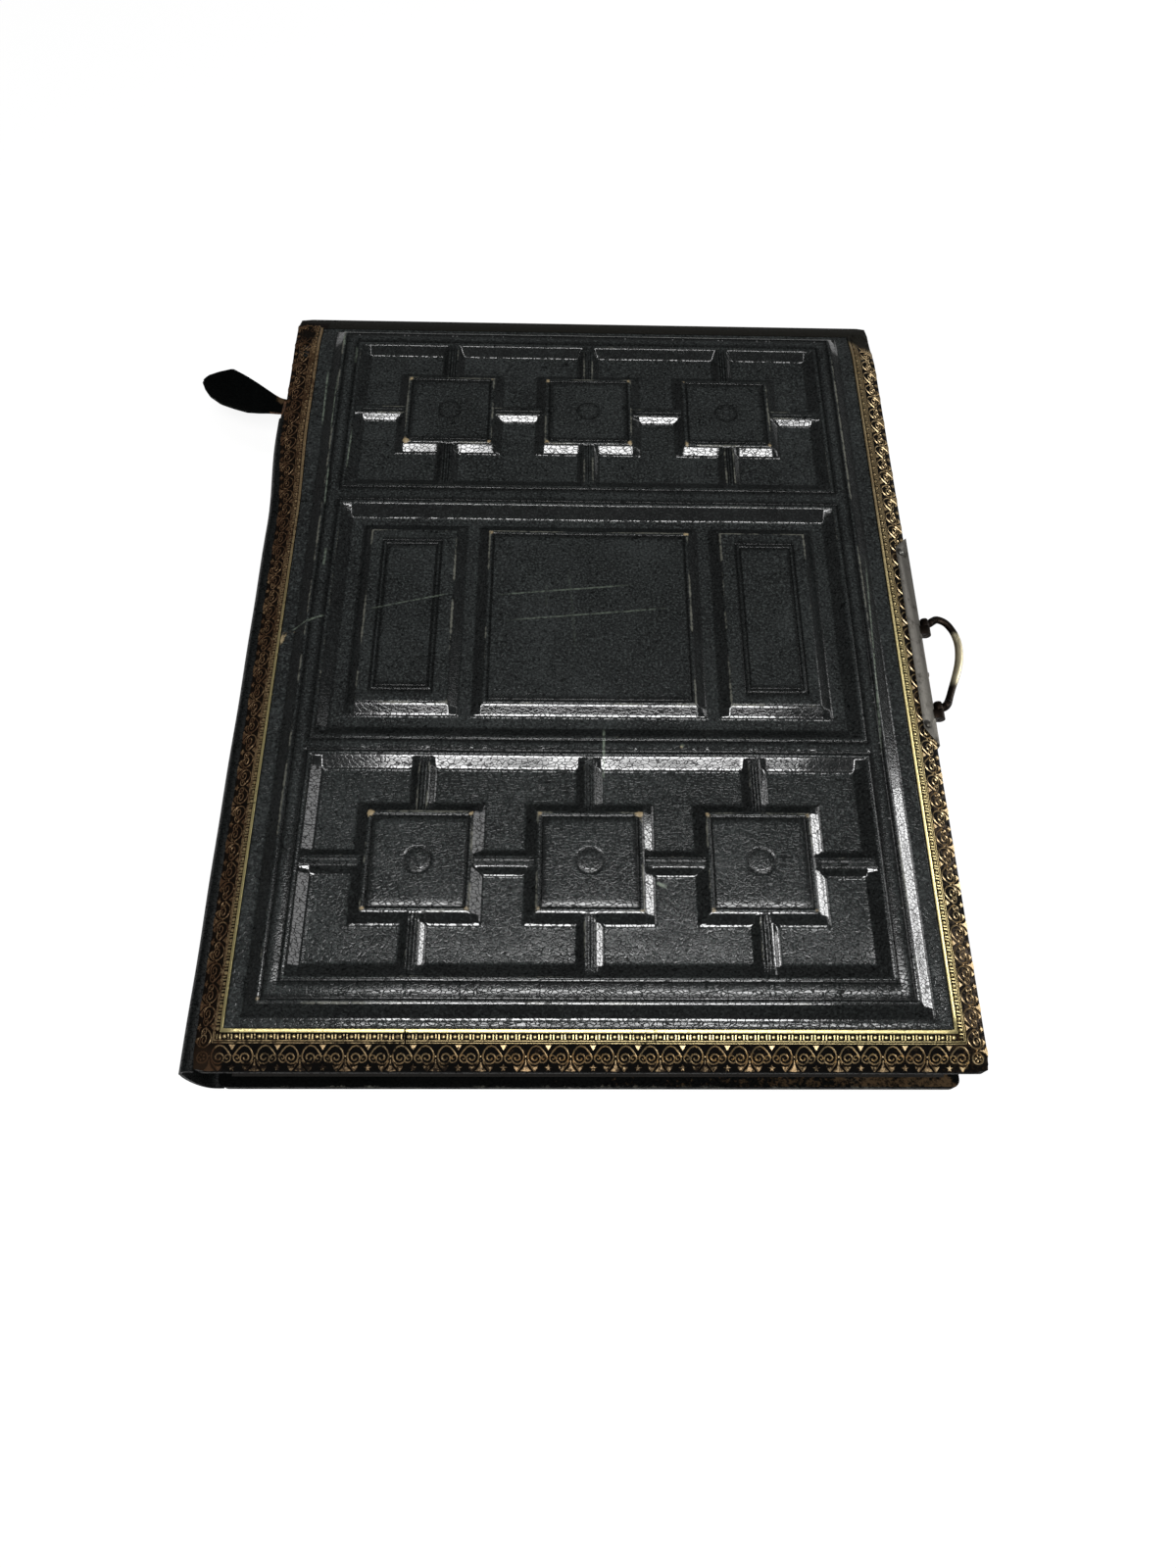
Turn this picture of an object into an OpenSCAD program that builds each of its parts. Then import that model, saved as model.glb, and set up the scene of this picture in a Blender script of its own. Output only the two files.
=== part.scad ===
// Leather-bound photo album with a deeply panelled front cover, a gilt sloping
// border, a rounded leather spine torn at its head, thick card leaves and a bail
// clasp on the fore-edge. Millimetres. The origin is on the underside of the back
// cover, below the centre of the panelled field: X runs to the fore-edge, Y to
// the head of the album and Z up.

/* [Covers] */
// Width of the leather field inside the gilt border
field_w = 200; // [190:1:220]
// Length of the leather field inside the gilt border
field_l = 268; // [262:1:300]
// Height of the front cover's square edge
rim_t = 2.5; // [2:0.1:4]
// Height of the gilt slope, from the square edge up to the field
gilt_rise = 4.2; // [3:0.1:6]
// Width of the gilt slope along the fore-edge
gilt_fore = 10; // [9:0.5:14]
// Width of the gilt slope along the head and the tail
gilt_end = 11; // [9:0.5:14]
// Width of the gilt slope along the spine
gilt_spine = 7; // [5:0.5:9]
// Thickness of the back cover
back_t = 6; // [4:0.5:8]
// Height of the slope under the back cover's edge
back_slope_h = 2.4; // [1:0.2:3.2]
// Width of the slope under the back cover's edge
back_slope_w = 4; // [2:0.5:8]

/* [Panelled field] */
// Width of the flat band beside the raised frame, at the sides
band_side = 4.7; // [3:0.1:7]
// Width of the flat band beside the raised frame, at head and tail
band_end = 3; // [2:0.1:6]
// Height of the raised frame above the band
frame_rise = 2.8; // [1.5:0.1:4]
// Width of the frame's outer slope
frame_slope = 4; // [2:0.1:5]
// Width of the frame's flat top
frame_flat = 6.7; // [5:0.1:9]
// Width of the flat rails between the three sunk panels
rail_w = 6.5; // [5:0.1:9]
// Length of the middle sunk panel
middle_l = 90.2; // [84:0.2:96]
// Depth of the sunk panels
sunk_depth = 2.5; // [1.5:0.1:3]
// Width of the sunk panels' sloping walls
sunk_slope = 4; // [2:0.1:5]
// Distance between the centres of the raised squares
square_pitch = 50; // [46:0.5:54]
// Width of a raised square's foot
square_w = 38; // [34:0.5:41]
// Width of the slope around a raised square or panel
boss_slope = 3.6; // [2:0.1:5]
// Width of a cross rib's foot
rib_w = 7.6; // [5:0.1:10]
// Width of a cross rib's ridge
rib_ridge = 3; // [1.5:0.1:4.5]
// Height by which the ribs stay below the squares
rib_drop = 0.4; // [0.1:0.1:1]
// Width of the middle raised panel's foot
centre_w = 74; // [66:1:82]
// Width of the sunk channel around the middle raised panels
channel_w = 4; // [2:0.1:6]

/* [Gilt ornament] */
// Thickness of the gilt skin on the slope
gilt_t = 0.3; // [0.2:0.05:0.5]
// Height of the fillets, beads and scrolls above the skin
relief_h = 0.4; // [0.2:0.05:0.7]
// Width of each plain gilt fillet
fillet_w = 0.9; // [0.5:0.1:1.4]
// Distance from the top of the slope to the first fillet
fillet_edge = 0.2; // [0.1:0.05:0.4]
// Distance between the larger beads
bead_pitch = 6.4; // [4:0.1:8]
// Radius of a bead, to its corners
bead_r = 1.1; // [0.6:0.05:1.3]
// Distance from the top of the slope to the middle of the bead row
bead_row = 2.4; // [2.2:0.1:3]
// Distance between scrolls
scroll_pitch = 12.2; // [11:0.2:18]
// Radius of a scroll
scroll_r = 1.9; // [1.2:0.1:2.2]
// Thickness of a scroll's line
scroll_line = 0.6; // [0.4:0.05:0.9]
// Distance kept clear beside the mitred corners
corner_clear = 3; // [2:0.5:8]

/* [Block and spine] */
// Thickness of the block of leaves
block_t = 20.3; // [14:0.1:40]
// Number of card leaves
leaf_count = 12; // [8:1:16]
// Height of the groove between two leaves
leaf_groove = 0.35; // [0.2:0.05:0.6]
// Depth of the groove between two leaves
leaf_inset = 0.6; // [0.3:0.1:1.2]
// Distance by which the covers stand out past the leaves
square_over = 5; // [3:0.5:8]
// Thickness of a pastedown sheet
paste_t = 0.3; // [0.2:0.05:0.6]
// Border of bare cover around a pastedown sheet
paste_margin = 3; // [2:0.5:6]
// Running gap between the block and each pastedown sheet
play = 0.3; // [0.2:0.05:0.6]
// Thickness of the spine's leather
spine_t = 1.1; // [0.8:0.1:1.8]
// Distance by which the spine's shoulders stand out past the covers
spine_out = 3; // [2:0.1:4]
// Height of the spine's rounding between its shoulders
spine_bulge = 3; // [2:0.1:4.5]
// Distance by which the card lining stops short of the head and tail
lining_short = 4; // [2:0.5:8]
// Distance from the head to the start of the tear in the spine's leather
tear_l = 59; // [40:1:90]
// Length of the strip of leather left along the front joint, past the tear
remnant_l = 36; // [30:1:44]
// Length over which the tear climbs from the spine's middle to that strip
tear_run = 19; // [12:0.5:26]
// Thickness of the loose torn strip
flap_t = 1.1; // [0.8:0.1:1.6]
// Length of the loose torn strip, across the album
flap_l = 39; // [24:0.5:42]
// Width of the loose torn strip, along the album
flap_w = 27.2; // [16:0.2:32]
// Distance from the start of the tear to the root of the loose strip
flap_from_tear = 16; // [14:0.5:20]
// Distance from the spine's upper shoulder down to the root of the loose strip
flap_down = 4.3; // [3.9:0.1:5]
// Angle by which the loose torn strip hangs down
flap_droop = 11.3; // [8:0.1:20]

/* [Clasp] */
// Length of the clasp plate on the fore-edge
plate_l = 81.6; // [60:0.2:100]
// Place of the plate's middle along the fore-edge
plate_y = -3.2; // [-30:0.1:30]
// Width of the plate's sloping face
plate_w = 5.2; // [4:0.1:7]
// Thickness of the plate
plate_t = 0.8; // [0.5:0.1:1.2]
// Length of each mitred end of the plate
plate_mitre = 5.5; // [3:0.1:8]
// Gap between the plate and the gilt skin around it
plate_gap = 0.2; // [0.1:0.05:0.4]
// Distance between the arms of the bail
bail_w = 32; // [24:0.5:40]
// Place of the bail's middle along the fore-edge
bail_y = -13.6; // [-24:0.1:10]
// Distance from the bail's pivot to the middle of its bar
bail_reach = 10.5; // [10.3:0.1:12]
// Radius of the bail's corners
bail_corner = 8.4; // [6:0.1:8.6]
// Radius of the bail's wire
wire_r = 1.05; // [0.8:0.05:1.2]
// Radius of the bail's eyes and of the plate's ears
eye_r = 1.6; // [1.4:0.05:1.65]
// Width of a bail eye
eye_w = 2.4; // [1.6:0.1:3]
// Width of an ear of the plate
ear_w = 3; // [2:0.1:4]
// Gap between an ear and the eye beside it
ear_gap = 0.2; // [0.1:0.05:0.4]
// Distance from the plate's outer face to the pivot
pivot_out = 1.9; // [1.9:0.05:2.4]
// Height of the pivot above the cover's underside
pivot_up = 1.8; // [1.65:0.05:2.2]
// Radius of the hinge pins
pin_r = 0.8; // [0.6:0.05:1]
// Radial clearance of a pin in the plate's ears
pin_fit = 0.02; // [0.01:0.01:0.05]
// Radial clearance of a pin in the bail's eyes
pin_run = 0.06; // [0.03:0.01:0.1]
// Radius of a pin's head
pin_head_r = 1.3; // [1.1:0.05:1.6]
// Thickness of a pin's head
pin_head_t = 0.5; // [0.3:0.05:0.8]
// Radius of a rivet's shank
rivet_r = 0.6; // [0.4:0.05:0.8]
// Radius of a rivet's head
rivet_head_r = 1; // [0.9:0.05:1.3]
// Height of a rivet's head
rivet_head_h = 0.5; // [0.3:0.05:0.8]
// Length of a rivet's shank below the plate
rivet_depth = 2; // [1:0.1:2.4]
// Distance of the rivets from the plate's ends
rivet_inset = 7; // [6:0.1:9]

/* [Catch] */
// Length of the catch plate on the back cover's fore-edge
catch_l = 26; // [20:1:40]
// Width of the catch plate on the cover's inner face
catch_w = 4.4; // [3.8:0.1:4.6]
// Thickness of the catch plate and its tongue
catch_t = 0.8; // [0.6:0.1:1.1]
// Distance of the catch rivets from the catch plate's ends
catch_rivet_inset = 3; // [2:0.1:4]
// Bare edge between the catch rivets' heads and the covers' fore-edge
catch_rivet_edge = 0.4; // [0.2:0.05:0.8]
// Width of the upright tongue
tongue_w = 8; // [6:0.5:12]
// Distance of the tongue from the covers' fore-edge
tongue_in = 3.6; // [3:0.1:3.7]
// Radius of the stud that the closed bail hooks over
stud_r = 1.5; // [1:0.1:1.6]
// Distance from the closed bail's bar up to the stud
stud_gap = 1; // [0.6:0.1:1.2]
// Height of the tongue above the middle of the stud
tongue_over = 2.2; // [1.7:0.1:3]

/* [Hidden] */
$fn = 48;

leather = "#24282a";
spine_black = "#1f2224";
gold = "#8f7444";
card = "#cfc3a6";
sheet = "#b9ad92";
board = "#6a5138";
steel = "#8e9192";
bronze = "#5d5242";

// Plan of the covers
fore_x = field_w / 2 + gilt_fore;
spine_x = -field_w / 2 - gilt_spine;
end_y = field_l / 2 + gilt_end;

// Heights, from the table up
block_z = back_t + paste_t + play;
cover_z = block_z + block_t + play + paste_t;
rim_z = cover_z + rim_t;
band_z = rim_z + gilt_rise;
top_z = band_z + frame_rise;
sunk_z = top_z - sunk_depth;

// Plan of the raised frame and the sunk panels
frame_x = field_w / 2 - band_side;
frame_y = field_l / 2 - band_end;
sunk_x = frame_x - frame_slope - frame_flat;
sunk_y = frame_y - frame_slope - frame_flat;
outer_panel_low = middle_l / 2 + rail_w;
outer_panel_y = (sunk_y + outer_panel_low) / 2;

// Reach of the long prisms that the sloped solids are cut from, and of cuts
reach = 2 * (field_w + field_l);
past = 1;

// Spine section: an arc through the two shoulders
shoulder_x = spine_x - spine_out;
spine_low = block_z;
spine_high = block_z + block_t;
spine_chord = spine_high - spine_low;
spine_arc_r = (pow(spine_chord / 2, 2) + pow(spine_bulge, 2)) / (2 * spine_bulge);
spine_arc_x = shoulder_x - spine_bulge + spine_arc_r;
spine_arc_z = (spine_low + spine_high) / 2;
lining_gap = 0.05;

// Slope angles of the gilt border
fore_tilt = atan(gilt_rise / gilt_fore);
end_tilt = atan(gilt_rise / gilt_end);
spine_tilt = atan(gilt_rise / gilt_spine);

// Bail pivot and parts placed from it
pivot_x = fore_x + plate_t + pivot_out;
pivot_z = cover_z + pivot_up;
ear_step = eye_w / 2 + ear_gap + ear_w / 2;
stud_z = pivot_z - bail_reach + wire_r + stud_gap + stud_r;

// Outline with sloping upper edges, for a solid seen from one side
function raised(lo, hi, run_lo, run_hi, z_foot, z_edge, z_top) = [
    [lo, z_foot], [hi, z_foot], [hi, z_edge],
    [hi - run_hi, z_top], [lo + run_lo, z_top], [lo, z_edge],
];

// Outline with sloping lower walls, for a pit seen from one side
function sunk(lo, hi, run, z_floor, z_mouth) = [
    [lo + run, z_floor], [hi - run, z_floor], [hi, z_mouth],
    [hi, z_mouth + past], [lo, z_mouth + past], [lo, z_mouth],
];

// Solid with one outline seen along Y and another seen along X
module two_way(seen_along_y, seen_along_x) {
    intersection() {
        rotate([90, 0, 0])
            linear_extrude(reach, center = true)
                polygon(seen_along_y);
        rotate([90, 0, 90])
            linear_extrude(reach, center = true)
                polygon(seen_along_x);
    }
}

// Raised block with equal slopes, its foot sunk a little into the floor below it
module boss(x, y, w, l, slope, z_top) {
    two_way(
        raised(x - w / 2, x + w / 2, slope, slope, sunk_z - past, sunk_z, z_top),
        raised(y - l / 2, y + l / 2, slope, slope, sunk_z - past, sunk_z, z_top)
    );
}

// Sunk panel cut down from the raised frame
module pit(y, l) {
    two_way(
        sunk(-sunk_x, sunk_x, sunk_slope, sunk_z, top_z),
        sunk(y - l / 2, y + l / 2, sunk_slope, sunk_z, top_z)
    );
}

// Rib along Y, or along X when turned, between two points of its row
module rib(from, to) {
    slope = (rib_w - rib_ridge) / 2;
    rotate([90, 0, 90])
        translate([0, 0, from])
            linear_extrude(to - from)
                polygon(raised(-rib_w / 2, rib_w / 2, slope, slope,
                    sunk_z - past, sunk_z, top_z - rib_drop));
}

// Ribs that run from a raised square to its neighbours and to the sunk panel's walls
module ribs(y) {
    top_half = square_w / 2 - boss_slope;
    panel_half = sunk_y - outer_panel_y;
    for (side = [-1, 1], column = [-1, 0, 1])
        translate([column * square_pitch, y, 0])
            rotate([0, 0, 90 * side])
                rib(top_half, panel_half - sunk_slope / 2);
    for (side = [-1, 1])
        translate([side * square_pitch / 2, y, 0])
            rib(top_half - square_pitch / 2, square_pitch / 2 - top_half);
    for (turn = [0, 180])
        translate([0, y, 0])
            rotate([0, 0, turn])
                rib(square_pitch + top_half, sunk_x - sunk_slope / 2);
}

// Three raised squares in a row, with their ribs
module square_row(y) {
    for (column = [-1, 0, 1])
        boss(column * square_pitch, y, square_w, square_w, boss_slope, top_z);
    ribs(y);
}

// Three raised panels of the middle sunk panel
module middle_panels() {
    foot_l = middle_l - 2 * sunk_slope - 2 * channel_w;
    side_in = centre_w / 2 + channel_w;
    side_out = sunk_x - sunk_slope - channel_w;
    boss(0, 0, centre_w, foot_l, boss_slope, top_z);
    for (side = [-1, 1])
        boss(side * (side_in + side_out) / 2, 0, side_out - side_in, foot_l, boss_slope, top_z);
}

// Board with the sloping border, up to a given height above the slope
module bevelled_board(lift, z_foot) {
    two_way(
        raised(spine_x, fore_x, gilt_spine, gilt_fore, z_foot, rim_z + lift, band_z + lift),
        raised(-end_y, end_y, gilt_end, gilt_end, z_foot, rim_z + lift, band_z + lift)
    );
}

// Raised frame around the three sunk panels
module raised_frame() {
    two_way(
        raised(-frame_x, frame_x, frame_slope, frame_slope, cover_z, band_z, top_z),
        raised(-frame_y, frame_y, frame_slope, frame_slope, cover_z, band_z, top_z)
    );
}

// Places children on the fore-edge slope: X runs down it, Z stands out of it
module on_fore_slope(down, y) {
    translate([field_w / 2, y, band_z])
        rotate([0, fore_tilt, 0])
            translate([down, 0, 0])
                children();
}

// Places of the clasp plate's two rivets along the fore-edge
function plate_rivets() = [for (side = [-1, 1]) plate_y + side * (plate_l / 2 - rivet_inset)];

// Places of the plate's two ears, each beside the tail side of a bail eye
function ear_rows() = [for (side = [-1, 1]) bail_y + side * bail_w / 2 - ear_step];

// Places of the catch plate's two rivets along the fore-edge
function catch_rivet_rows() = [for (side = [-1, 1]) bail_y + side * (catch_l / 2 - catch_rivet_inset)];

// Distance down the slope to the middle of the clasp plate
function plate_mid() = gilt_fore / cos(fore_tilt) - plate_w / 2;

// Distance from the covers' fore-edge to the catch rivets
catch_rivet_x = fore_x - catch_rivet_edge - rivet_head_r;

// Domed rivet standing on its plate, the shank going down through it
module rivet(plate) {
    dome_r = (pow(rivet_head_r, 2) + pow(rivet_head_h, 2)) / (2 * rivet_head_h);
    translate([0, 0, -rivet_depth])
        cylinder(plate + rivet_depth, r = rivet_r);
    translate([0, 0, plate])
        intersection() {
            translate([0, 0, rivet_head_h - dome_r])
                sphere(dome_r);
            cylinder(rivet_head_h, r = rivet_head_r);
        }
}

// Hole for a rivet's shank, through the plate and into the board
module rivet_hole(plate) {
    translate([0, 0, -rivet_depth - lining_gap])
        cylinder(plate + past + rivet_depth + lining_gap, r = rivet_r + pin_fit);
}

module front_cover() {
    color(leather)
        difference() {
            union() {
                difference() {
                    union() {
                        bevelled_board(0, cover_z);
                        raised_frame();
                    }
                    for (side = [-1, 1])
                        pit(side * outer_panel_y, sunk_y - outer_panel_low);
                    pit(0, middle_l);
                }
                for (side = [-1, 1])
                    square_row(side * outer_panel_y);
                middle_panels();
            }
            for (y = plate_rivets())
                on_fore_slope(plate_mid(), y)
                    rivet_hole(plate_t);
        }
}

// Sheet of paper on the inner face of a cover
module pastedown(z, fore_margin) {
    x0 = spine_x + paste_margin;
    y0 = end_y - paste_margin;
    translate([x0, -y0, z])
        cube([fore_x - fore_margin - x0, 2 * y0, paste_t]);
}

module front_pastedown() {
    color(sheet)
        pastedown(cover_z - paste_t, paste_margin);
}

module back_pastedown() {
    color(sheet)
        pastedown(back_t, catch_w + plate_gap);
}

module back_cover() {
    low = [[spine_x + back_slope_w, 0], [fore_x - back_slope_w, 0]];
    end = [[-end_y + back_slope_w, 0], [end_y - back_slope_w, 0]];
    color(leather)
        difference() {
            two_way(
                concat(low, [[fore_x, back_slope_h], [fore_x, back_t], [spine_x, back_t], [spine_x, back_slope_h]]),
                concat(end, [[end_y, back_slope_h], [end_y, back_t], [-end_y, back_t], [-end_y, back_slope_h]])
            );
            for (y = catch_rivet_rows())
                translate([catch_rivet_x, y, back_t])
                    rivet_hole(catch_t);
        }
}

module page_block() {
    leaf_pitch = (block_t + leaf_groove) / leaf_count;
    leaf_x = fore_x - square_over;
    leaf_y = end_y - square_over;
    color(card)
        union() {
            translate([spine_x, -leaf_y + leaf_inset, block_z])
                cube([leaf_x - leaf_inset - spine_x, 2 * (leaf_y - leaf_inset), block_t]);
            for (leaf = [0:leaf_count - 1])
                translate([spine_x, -leaf_y, block_z + leaf * leaf_pitch])
                    cube([leaf_x - spine_x, 2 * leaf_y, leaf_pitch - leaf_groove]);
        }
}

// Round-backed section of the spine, grown or shrunk from its outer face
module spine_section(depth, inner_x) {
    intersection() {
        translate([spine_arc_x, spine_arc_z])
            circle(spine_arc_r - depth, $fn = 120);
        translate([shoulder_x - spine_bulge - past, spine_low])
            square([inner_x - shoulder_x + spine_bulge + past, spine_chord]);
    }
}

module spine_lining() {
    length = 2 * (end_y - lining_short);
    color(board)
        rotate([90, 0, 0])
            linear_extrude(length, center = true)
                spine_section(spine_t + lining_gap, spine_x);
}

// Side view of the spine's leather, with its tear at the head
module torn_outline() {
    tear_y = end_y - tear_l;
    rotate([90, 0, 90])
        linear_extrude(reach, center = true)
            polygon([
                [-end_y, spine_low - past],
                [tear_y, spine_low - past],
                [tear_y + tear_run / 6, spine_low + spine_chord / 3],
                [tear_y + tear_run * 0.6, spine_low + spine_chord * 0.65],
                [tear_y + tear_run, spine_high - spine_chord / 4],
                [tear_y + remnant_l, spine_high - spine_t],
                [tear_y + remnant_l, spine_high + past],
                [-end_y, spine_high + past],
            ]);
}

// Loose torn strip: a narrow neck at the joint that widens to a leaf shape
module torn_flap() {
    leaf = [
        [0.03, -0.06], [-0.08, -0.01], [-0.18, -0.03], [-0.31, 0], [-0.5, 0.13],
        [-0.73, 0.42], [-0.92, 0.7], [-1, 0.84], [-0.96, 0.93], [-0.82, 0.97],
        [-0.66, 0.93], [-0.47, 0.68], [-0.27, 0.35], [-0.1, 0.12], [0.03, 0.09],
    ];
    translate([shoulder_x - spine_bulge * 0.83, end_y - tear_l + flap_from_tear, spine_high - flap_down])
        rotate([0, -flap_droop, 0])
            translate([0, 0, -flap_t])
                linear_extrude(flap_t)
                    polygon([for (point = leaf) [point[0] * flap_l, point[1] * flap_w]]);
}

module spine_leather() {
    color(spine_black)
        union() {
            intersection() {
                rotate([90, 0, 0])
                    linear_extrude(reach, center = true)
                        difference() {
                            spine_section(0, spine_x - lining_gap);
                            spine_section(spine_t, spine_x + past);
                        }
                torn_outline();
            }
            torn_flap();
        }
}

// One plain gilt line along a slope
module fillet_line(length, down) {
    translate([down - fillet_w / 2, -length / 2, gilt_t / 2])
        cube([fillet_w, length, gilt_t / 2 + relief_h]);
}

// Row of beads along a slope
module bead_line(length) {
    count = floor((length - 2 * corner_clear) / bead_pitch);
    for (i = [0:count])
        translate([bead_row, (i - count / 2) * bead_pitch, gilt_t / 2])
            cylinder(gilt_t / 2 + relief_h, r = bead_r, $fn = 4);
}

// Row of round scrolls along a slope
module scroll_row(length, width) {
    count = floor((length - 2 * corner_clear) / scroll_pitch);
    middle = (bead_row + bead_r + width) / 2;
    for (i = [0:count - 1])
        translate([middle, (i - (count - 1) / 2) * scroll_pitch, gilt_t / 2])
            difference() {
                cylinder(gilt_t / 2 + relief_h, r = scroll_r, $fn = 6);
                translate([0, 0, gilt_t / 2])
                    cylinder(relief_h + past, r = scroll_r - scroll_line, $fn = 6);
            }
}

// Raised gilt work of one slope, placed with X down the slope and Z out of it
module gilt_relief(length, half_span, rise_angle, width) {
    translate([half_span, 0, band_z])
        rotate([0, rise_angle, 0]) {
            fillet_line(length, fillet_edge + fillet_w / 2);
            bead_line(length);
            scroll_row(length, width / cos(rise_angle));
        }
}

module gilt_border() {
    color(gold)
        difference() {
            union() {
                difference() {
                    bevelled_board(gilt_t, rim_z);
                    bevelled_board(0, cover_z - past);
                    cube([field_w, field_l, reach], center = true);
                }
                gilt_relief(field_l, field_w / 2, fore_tilt, gilt_fore);
                mirror([1, 0, 0])
                    gilt_relief(field_l, field_w / 2, spine_tilt, gilt_spine);
                for (turn = [90, 270])
                    rotate([0, 0, turn])
                        gilt_relief(field_w, field_l / 2, end_tilt, gilt_end);
            }
            clasp_footprint(plate_gap);
        }
}

// Plan of the clasp plate, with mitred ends, as a tall prism
module clasp_footprint(grow) {
    inner_x = fore_x - plate_w * cos(fore_tilt) - grow;
    outer_x = fore_x + plate_t + grow;
    half = plate_l / 2 + grow;
    translate([0, plate_y, cover_z])
        linear_extrude(reach)
            polygon([
                [inner_x, -half + plate_mitre], [outer_x, -half],
                [outer_x, half], [inner_x, half - plate_mitre],
            ]);
}

// Ear of the clasp plate around one hinge pin
module ear() {
    rotate([90, 0, 0])
        cylinder(ear_w, r = eye_r, center = true);
    translate([-pivot_out - plate_t / 2, -ear_w / 2, -eye_r])
        cube([pivot_out + plate_t / 2, ear_w, 2 * eye_r]);
}

module clasp_plate() {
    lift = plate_t / cos(fore_tilt);
    inner_x = fore_x - plate_w * cos(fore_tilt);
    inner_z = rim_z + plate_w * sin(fore_tilt);
    color(steel)
        difference() {
            union() {
                intersection() {
                    rotate([90, 0, 0])
                        linear_extrude(reach, center = true)
                            polygon([
                                [inner_x, inner_z], [fore_x, rim_z], [fore_x, cover_z],
                                [fore_x + plate_t, cover_z],
                                [fore_x + plate_t, rim_z + lift - plate_t * tan(fore_tilt)],
                                [inner_x, inner_z + lift],
                            ]);
                    clasp_footprint(0);
                }
                for (y = ear_rows())
                    translate([pivot_x, y, pivot_z])
                        ear();
            }
            for (y = ear_rows())
                translate([pivot_x, y, pivot_z])
                    rotate([90, 0, 0])
                        cylinder(ear_w + past, r = pin_r + pin_fit, center = true);
            for (y = plate_rivets())
                on_fore_slope(plate_mid(), y)
                    rivet_hole(plate_t);
        }
}

module clasp_rivets() {
    color(steel)
        for (y = plate_rivets())
            on_fore_slope(plate_mid(), y)
                rivet(plate_t);
}

module bail_pins() {
    shank = ear_w + eye_w + 2 * ear_gap;
    color(bronze)
        for (y = ear_rows())
            translate([pivot_x, y - ear_w / 2, pivot_z])
                rotate([-90, 0, 0]) {
                    cylinder(shank, r = pin_r);
                    translate([0, 0, shank])
                        cylinder(pin_head_t, r = pin_head_r);
                }
}

// Half of the bail: an eye, an arm, a round corner and half of the bar
module bail_half() {
    straight = bail_reach - bail_corner;
    bore_r = pin_r + pin_run;
    start = bore_r + (eye_r - bore_r) / 4;
    difference() {
        union() {
            translate([0, bail_w / 2, 0])
                rotate([90, 0, 0])
                    cylinder(eye_w, r = eye_r, center = true);
            translate([start, bail_w / 2, 0])
                rotate([0, 90, 0])
                    cylinder(straight - start, r = wire_r);
        }
        translate([0, bail_w / 2, 0])
            rotate([90, 0, 0])
                cylinder(eye_w + 2 * past, r = bore_r, center = true);
    }
    translate([straight, bail_w / 2 - bail_corner, 0])
        rotate_extrude(angle = 90)
            translate([bail_corner, 0])
                circle(wire_r);
    translate([bail_reach, 0, 0])
        rotate([-90, 0, 0])
            cylinder(bail_w / 2 - bail_corner, r = wire_r);
}

module clasp_bail() {
    color(bronze)
        translate([pivot_x, bail_y, pivot_z]) {
            bail_half();
            mirror([0, 1, 0])
                bail_half();
        }
}

module catch_plate() {
    tongue_x = fore_x - tongue_in;
    stud_end = pivot_x + wire_r;
    color(steel)
        difference() {
            union() {
                translate([fore_x - catch_w, bail_y - catch_l / 2, back_t])
                    cube([catch_w + catch_t, catch_l, catch_t]);
                translate([fore_x, bail_y - catch_l / 2, back_slope_h])
                    cube([catch_t, catch_l, back_t - back_slope_h + catch_t]);
                translate([tongue_x, bail_y - tongue_w / 2, back_t])
                    cube([catch_t, tongue_w, stud_z + tongue_over - back_t]);
                translate([tongue_x, bail_y, stud_z])
                    rotate([0, 90, 0])
                        cylinder(stud_end - tongue_x, r = stud_r);
            }
            for (y = catch_rivet_rows())
                translate([catch_rivet_x, y, back_t])
                    rivet_hole(catch_t);
        }
}

module catch_rivets() {
    color(steel)
        for (y = catch_rivet_rows())
            translate([catch_rivet_x, y, back_t])
                rivet(catch_t);
}

back_cover();
back_pastedown();
catch_plate();
catch_rivets();
page_block();
spine_lining();
spine_leather();
front_cover();
front_pastedown();
gilt_border();
clasp_plate();
clasp_rivets();
bail_pins();
clasp_bail();
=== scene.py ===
import functools
import math
import random

import bpy
import numpy as np
from mathutils import Matrix, Vector


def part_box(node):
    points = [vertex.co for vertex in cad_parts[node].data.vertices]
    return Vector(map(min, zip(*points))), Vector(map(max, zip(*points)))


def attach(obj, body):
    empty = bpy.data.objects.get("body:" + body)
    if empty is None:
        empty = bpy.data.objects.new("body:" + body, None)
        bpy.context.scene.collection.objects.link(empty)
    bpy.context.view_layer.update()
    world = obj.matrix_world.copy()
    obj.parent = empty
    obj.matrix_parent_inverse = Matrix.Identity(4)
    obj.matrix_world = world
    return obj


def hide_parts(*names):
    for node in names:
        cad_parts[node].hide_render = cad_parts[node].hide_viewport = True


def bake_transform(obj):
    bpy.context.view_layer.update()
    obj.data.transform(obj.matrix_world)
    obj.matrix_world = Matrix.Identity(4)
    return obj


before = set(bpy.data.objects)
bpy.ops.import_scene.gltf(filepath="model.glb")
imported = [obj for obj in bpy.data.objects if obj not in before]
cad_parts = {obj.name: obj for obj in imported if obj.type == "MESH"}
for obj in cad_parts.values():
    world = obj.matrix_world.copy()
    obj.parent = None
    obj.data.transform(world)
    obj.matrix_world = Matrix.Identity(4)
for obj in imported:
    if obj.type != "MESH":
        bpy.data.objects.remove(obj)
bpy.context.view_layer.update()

# A leather photo album lying on its back cover, as the frame has it. Lengths
# are millimetres until a mesh is placed, and MM turns them to metres.
MM = 0.001

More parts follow.
